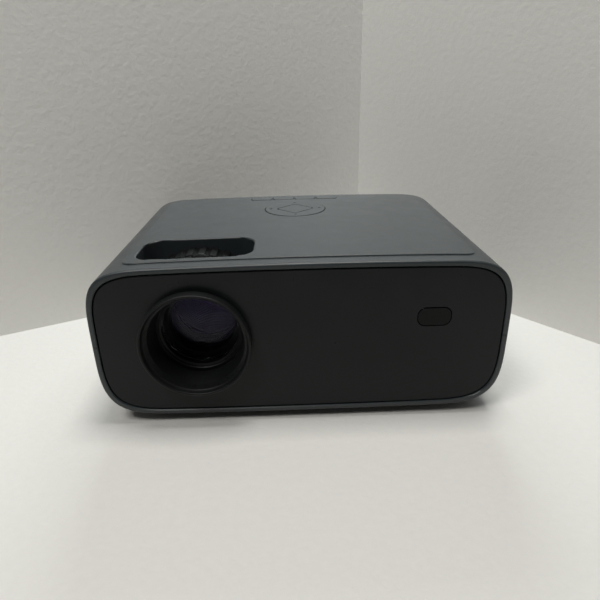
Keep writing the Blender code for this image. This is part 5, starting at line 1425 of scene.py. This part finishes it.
def light_world(scene):
    """A faint even light, with a brighter world where the camera sees it."""
    world = bpy.data.worlds.new("soft room")
    scene.world = world
    world.use_nodes = True
    nodes = world.node_tree.nodes
    background = nodes["Background"]
    background.inputs["Color"].default_value = WORLD_COLOUR
    ray = nodes.new("ShaderNodeLightPath")
    level = nodes.new("ShaderNodeMath")
    level.operation = "MULTIPLY_ADD"
    level.inputs[1].default_value = WORLD_SEEN
    level.inputs[2].default_value = WORLD_LIGHT
    world.node_tree.links.new(ray.outputs["Is Camera Ray"], level.inputs[0])
    world.node_tree.links.new(level.outputs["Value"], background.inputs["Strength"])


def place_camera(scene):
    """The camera at the photograph's viewing angle."""
    ahead = math.cos(CAMERA_PITCH)
    forward = Vector((math.sin(CAMERA_YAW) * ahead, math.cos(CAMERA_YAW) * ahead, -math.sin(CAMERA_PITCH)))
    right = Vector((math.cos(CAMERA_YAW), -math.sin(CAMERA_YAW), 0.0))
    down = forward.cross(right)
    across = math.cos(CAMERA_ROLL) * right + math.sin(CAMERA_ROLL) * down
    below = -math.sin(CAMERA_ROLL) * right + math.cos(CAMERA_ROLL) * down
    deselect()
    bpy.ops.object.camera_add(location=CAMERA_PLACE)
    camera = bpy.context.object
    camera.name = "camera"
    turn = Matrix((across, -below, -forward)).transposed()
    camera.matrix_world = Matrix.Translation(Vector(CAMERA_PLACE)) @ turn.to_4x4()
    camera.data.sensor_width = CAMERA_SENSOR
    camera.data.lens = CAMERA_LENS
    camera.data.clip_start = 0.01
    scene.camera = camera


class PROJECTOR_OT_stage(bpy.types.Operator):
    """Floor, backdrop, lamps, world and camera"""

    bl_idname = "projector.stage"
    bl_label = "Stage"

    def execute(self, context):
        colour = tuple(context.scene.projector_colours.floor)
        finish = wall_finish("pale floor", colour)
        walls = wall_finish("pale wall", tint(colour, 1.1))
        floor_part("floor", FLOOR_EDGE, FLOOR_REACH, finish)
        apron = floor_part("apron", -FLOOR_REACH, FLOOR_EDGE, finish)
        apron.visible_glossy = False
        apron.visible_diffuse = False
        wall_part("left_wall", LEFT_END, WALL_CORNER, walls)
        wall_part("right_wall", WALL_CORNER, RIGHT_END, walls)
        lamp("ceiling light", (0.12, 0.0, 1.3), (0.0, 0.0, 0.0), 0.4, 9.0, WARM_WHITE)
        lamp("wall light", (-0.45, -0.6, 1.2), (0.1, 0.15, 0.15), 0.4, 8.0, WARM_WHITE)
        lamp("back light", (0.05, 1.2, 0.7), (0.0, 0.0, 0.08), 0.8, 12.5, COOL_WHITE)
        light_world(context.scene)
        place_camera(context.scene)
        context.scene.view_settings.view_transform = "Standard"
        return {"FINISHED"}


STEPS = (
    PROJECTOR_OT_finishes,
    PROJECTOR_OT_top_shell,
    PROJECTOR_OT_bottom_shell,
    PROJECTOR_OT_front_panel,
    PROJECTOR_OT_lens_bezel,
    PROJECTOR_OT_lens,
    PROJECTOR_OT_adjusters,
    PROJECTOR_OT_keys,
    PROJECTOR_OT_feet,
    PROJECTOR_OT_screws,
    PROJECTOR_OT_rear_panel,
    PROJECTOR_OT_sockets,
    PROJECTOR_OT_inside,
    PROJECTOR_OT_stage,
)


class PROJECTOR_PT_panel(bpy.types.Panel):
    """Sizes, colours and steps of the projector"""

    bl_idname = "PROJECTOR_PT_panel"
    bl_label = "Mini Projector"
    bl_space_type = "VIEW_3D"
    bl_region_type = "UI"
    bl_category = "Projector"

    def draw(self, context):
        for group in (context.scene.projector_sizes, context.scene.projector_colours):
            for name in group.bl_rna.properties.keys():
                if name not in ("rna_type", "name"):
                    self.layout.prop(group, name)
        for step in STEPS:
            self.layout.operator(step.bl_idname)


CLASSES = (ProjectorSizes, ProjectorColours, *STEPS, PROJECTOR_PT_panel)


def register():
    for item in CLASSES:
        bpy.utils.register_class(item)
    bpy.types.Scene.projector_sizes = bpy.props.PointerProperty(type=ProjectorSizes)
    bpy.types.Scene.projector_colours = bpy.props.PointerProperty(type=ProjectorColours)


def unregister():
    del bpy.types.Scene.projector_colours
    del bpy.types.Scene.projector_sizes
    for item in reversed(CLASSES):
        bpy.utils.unregister_class(item)


def main():
    register()
    for step in STEPS:
        group, name = step.bl_idname.split(".")
        getattr(getattr(bpy.ops, group), name)()


if __name__ == "__main__":
    main()
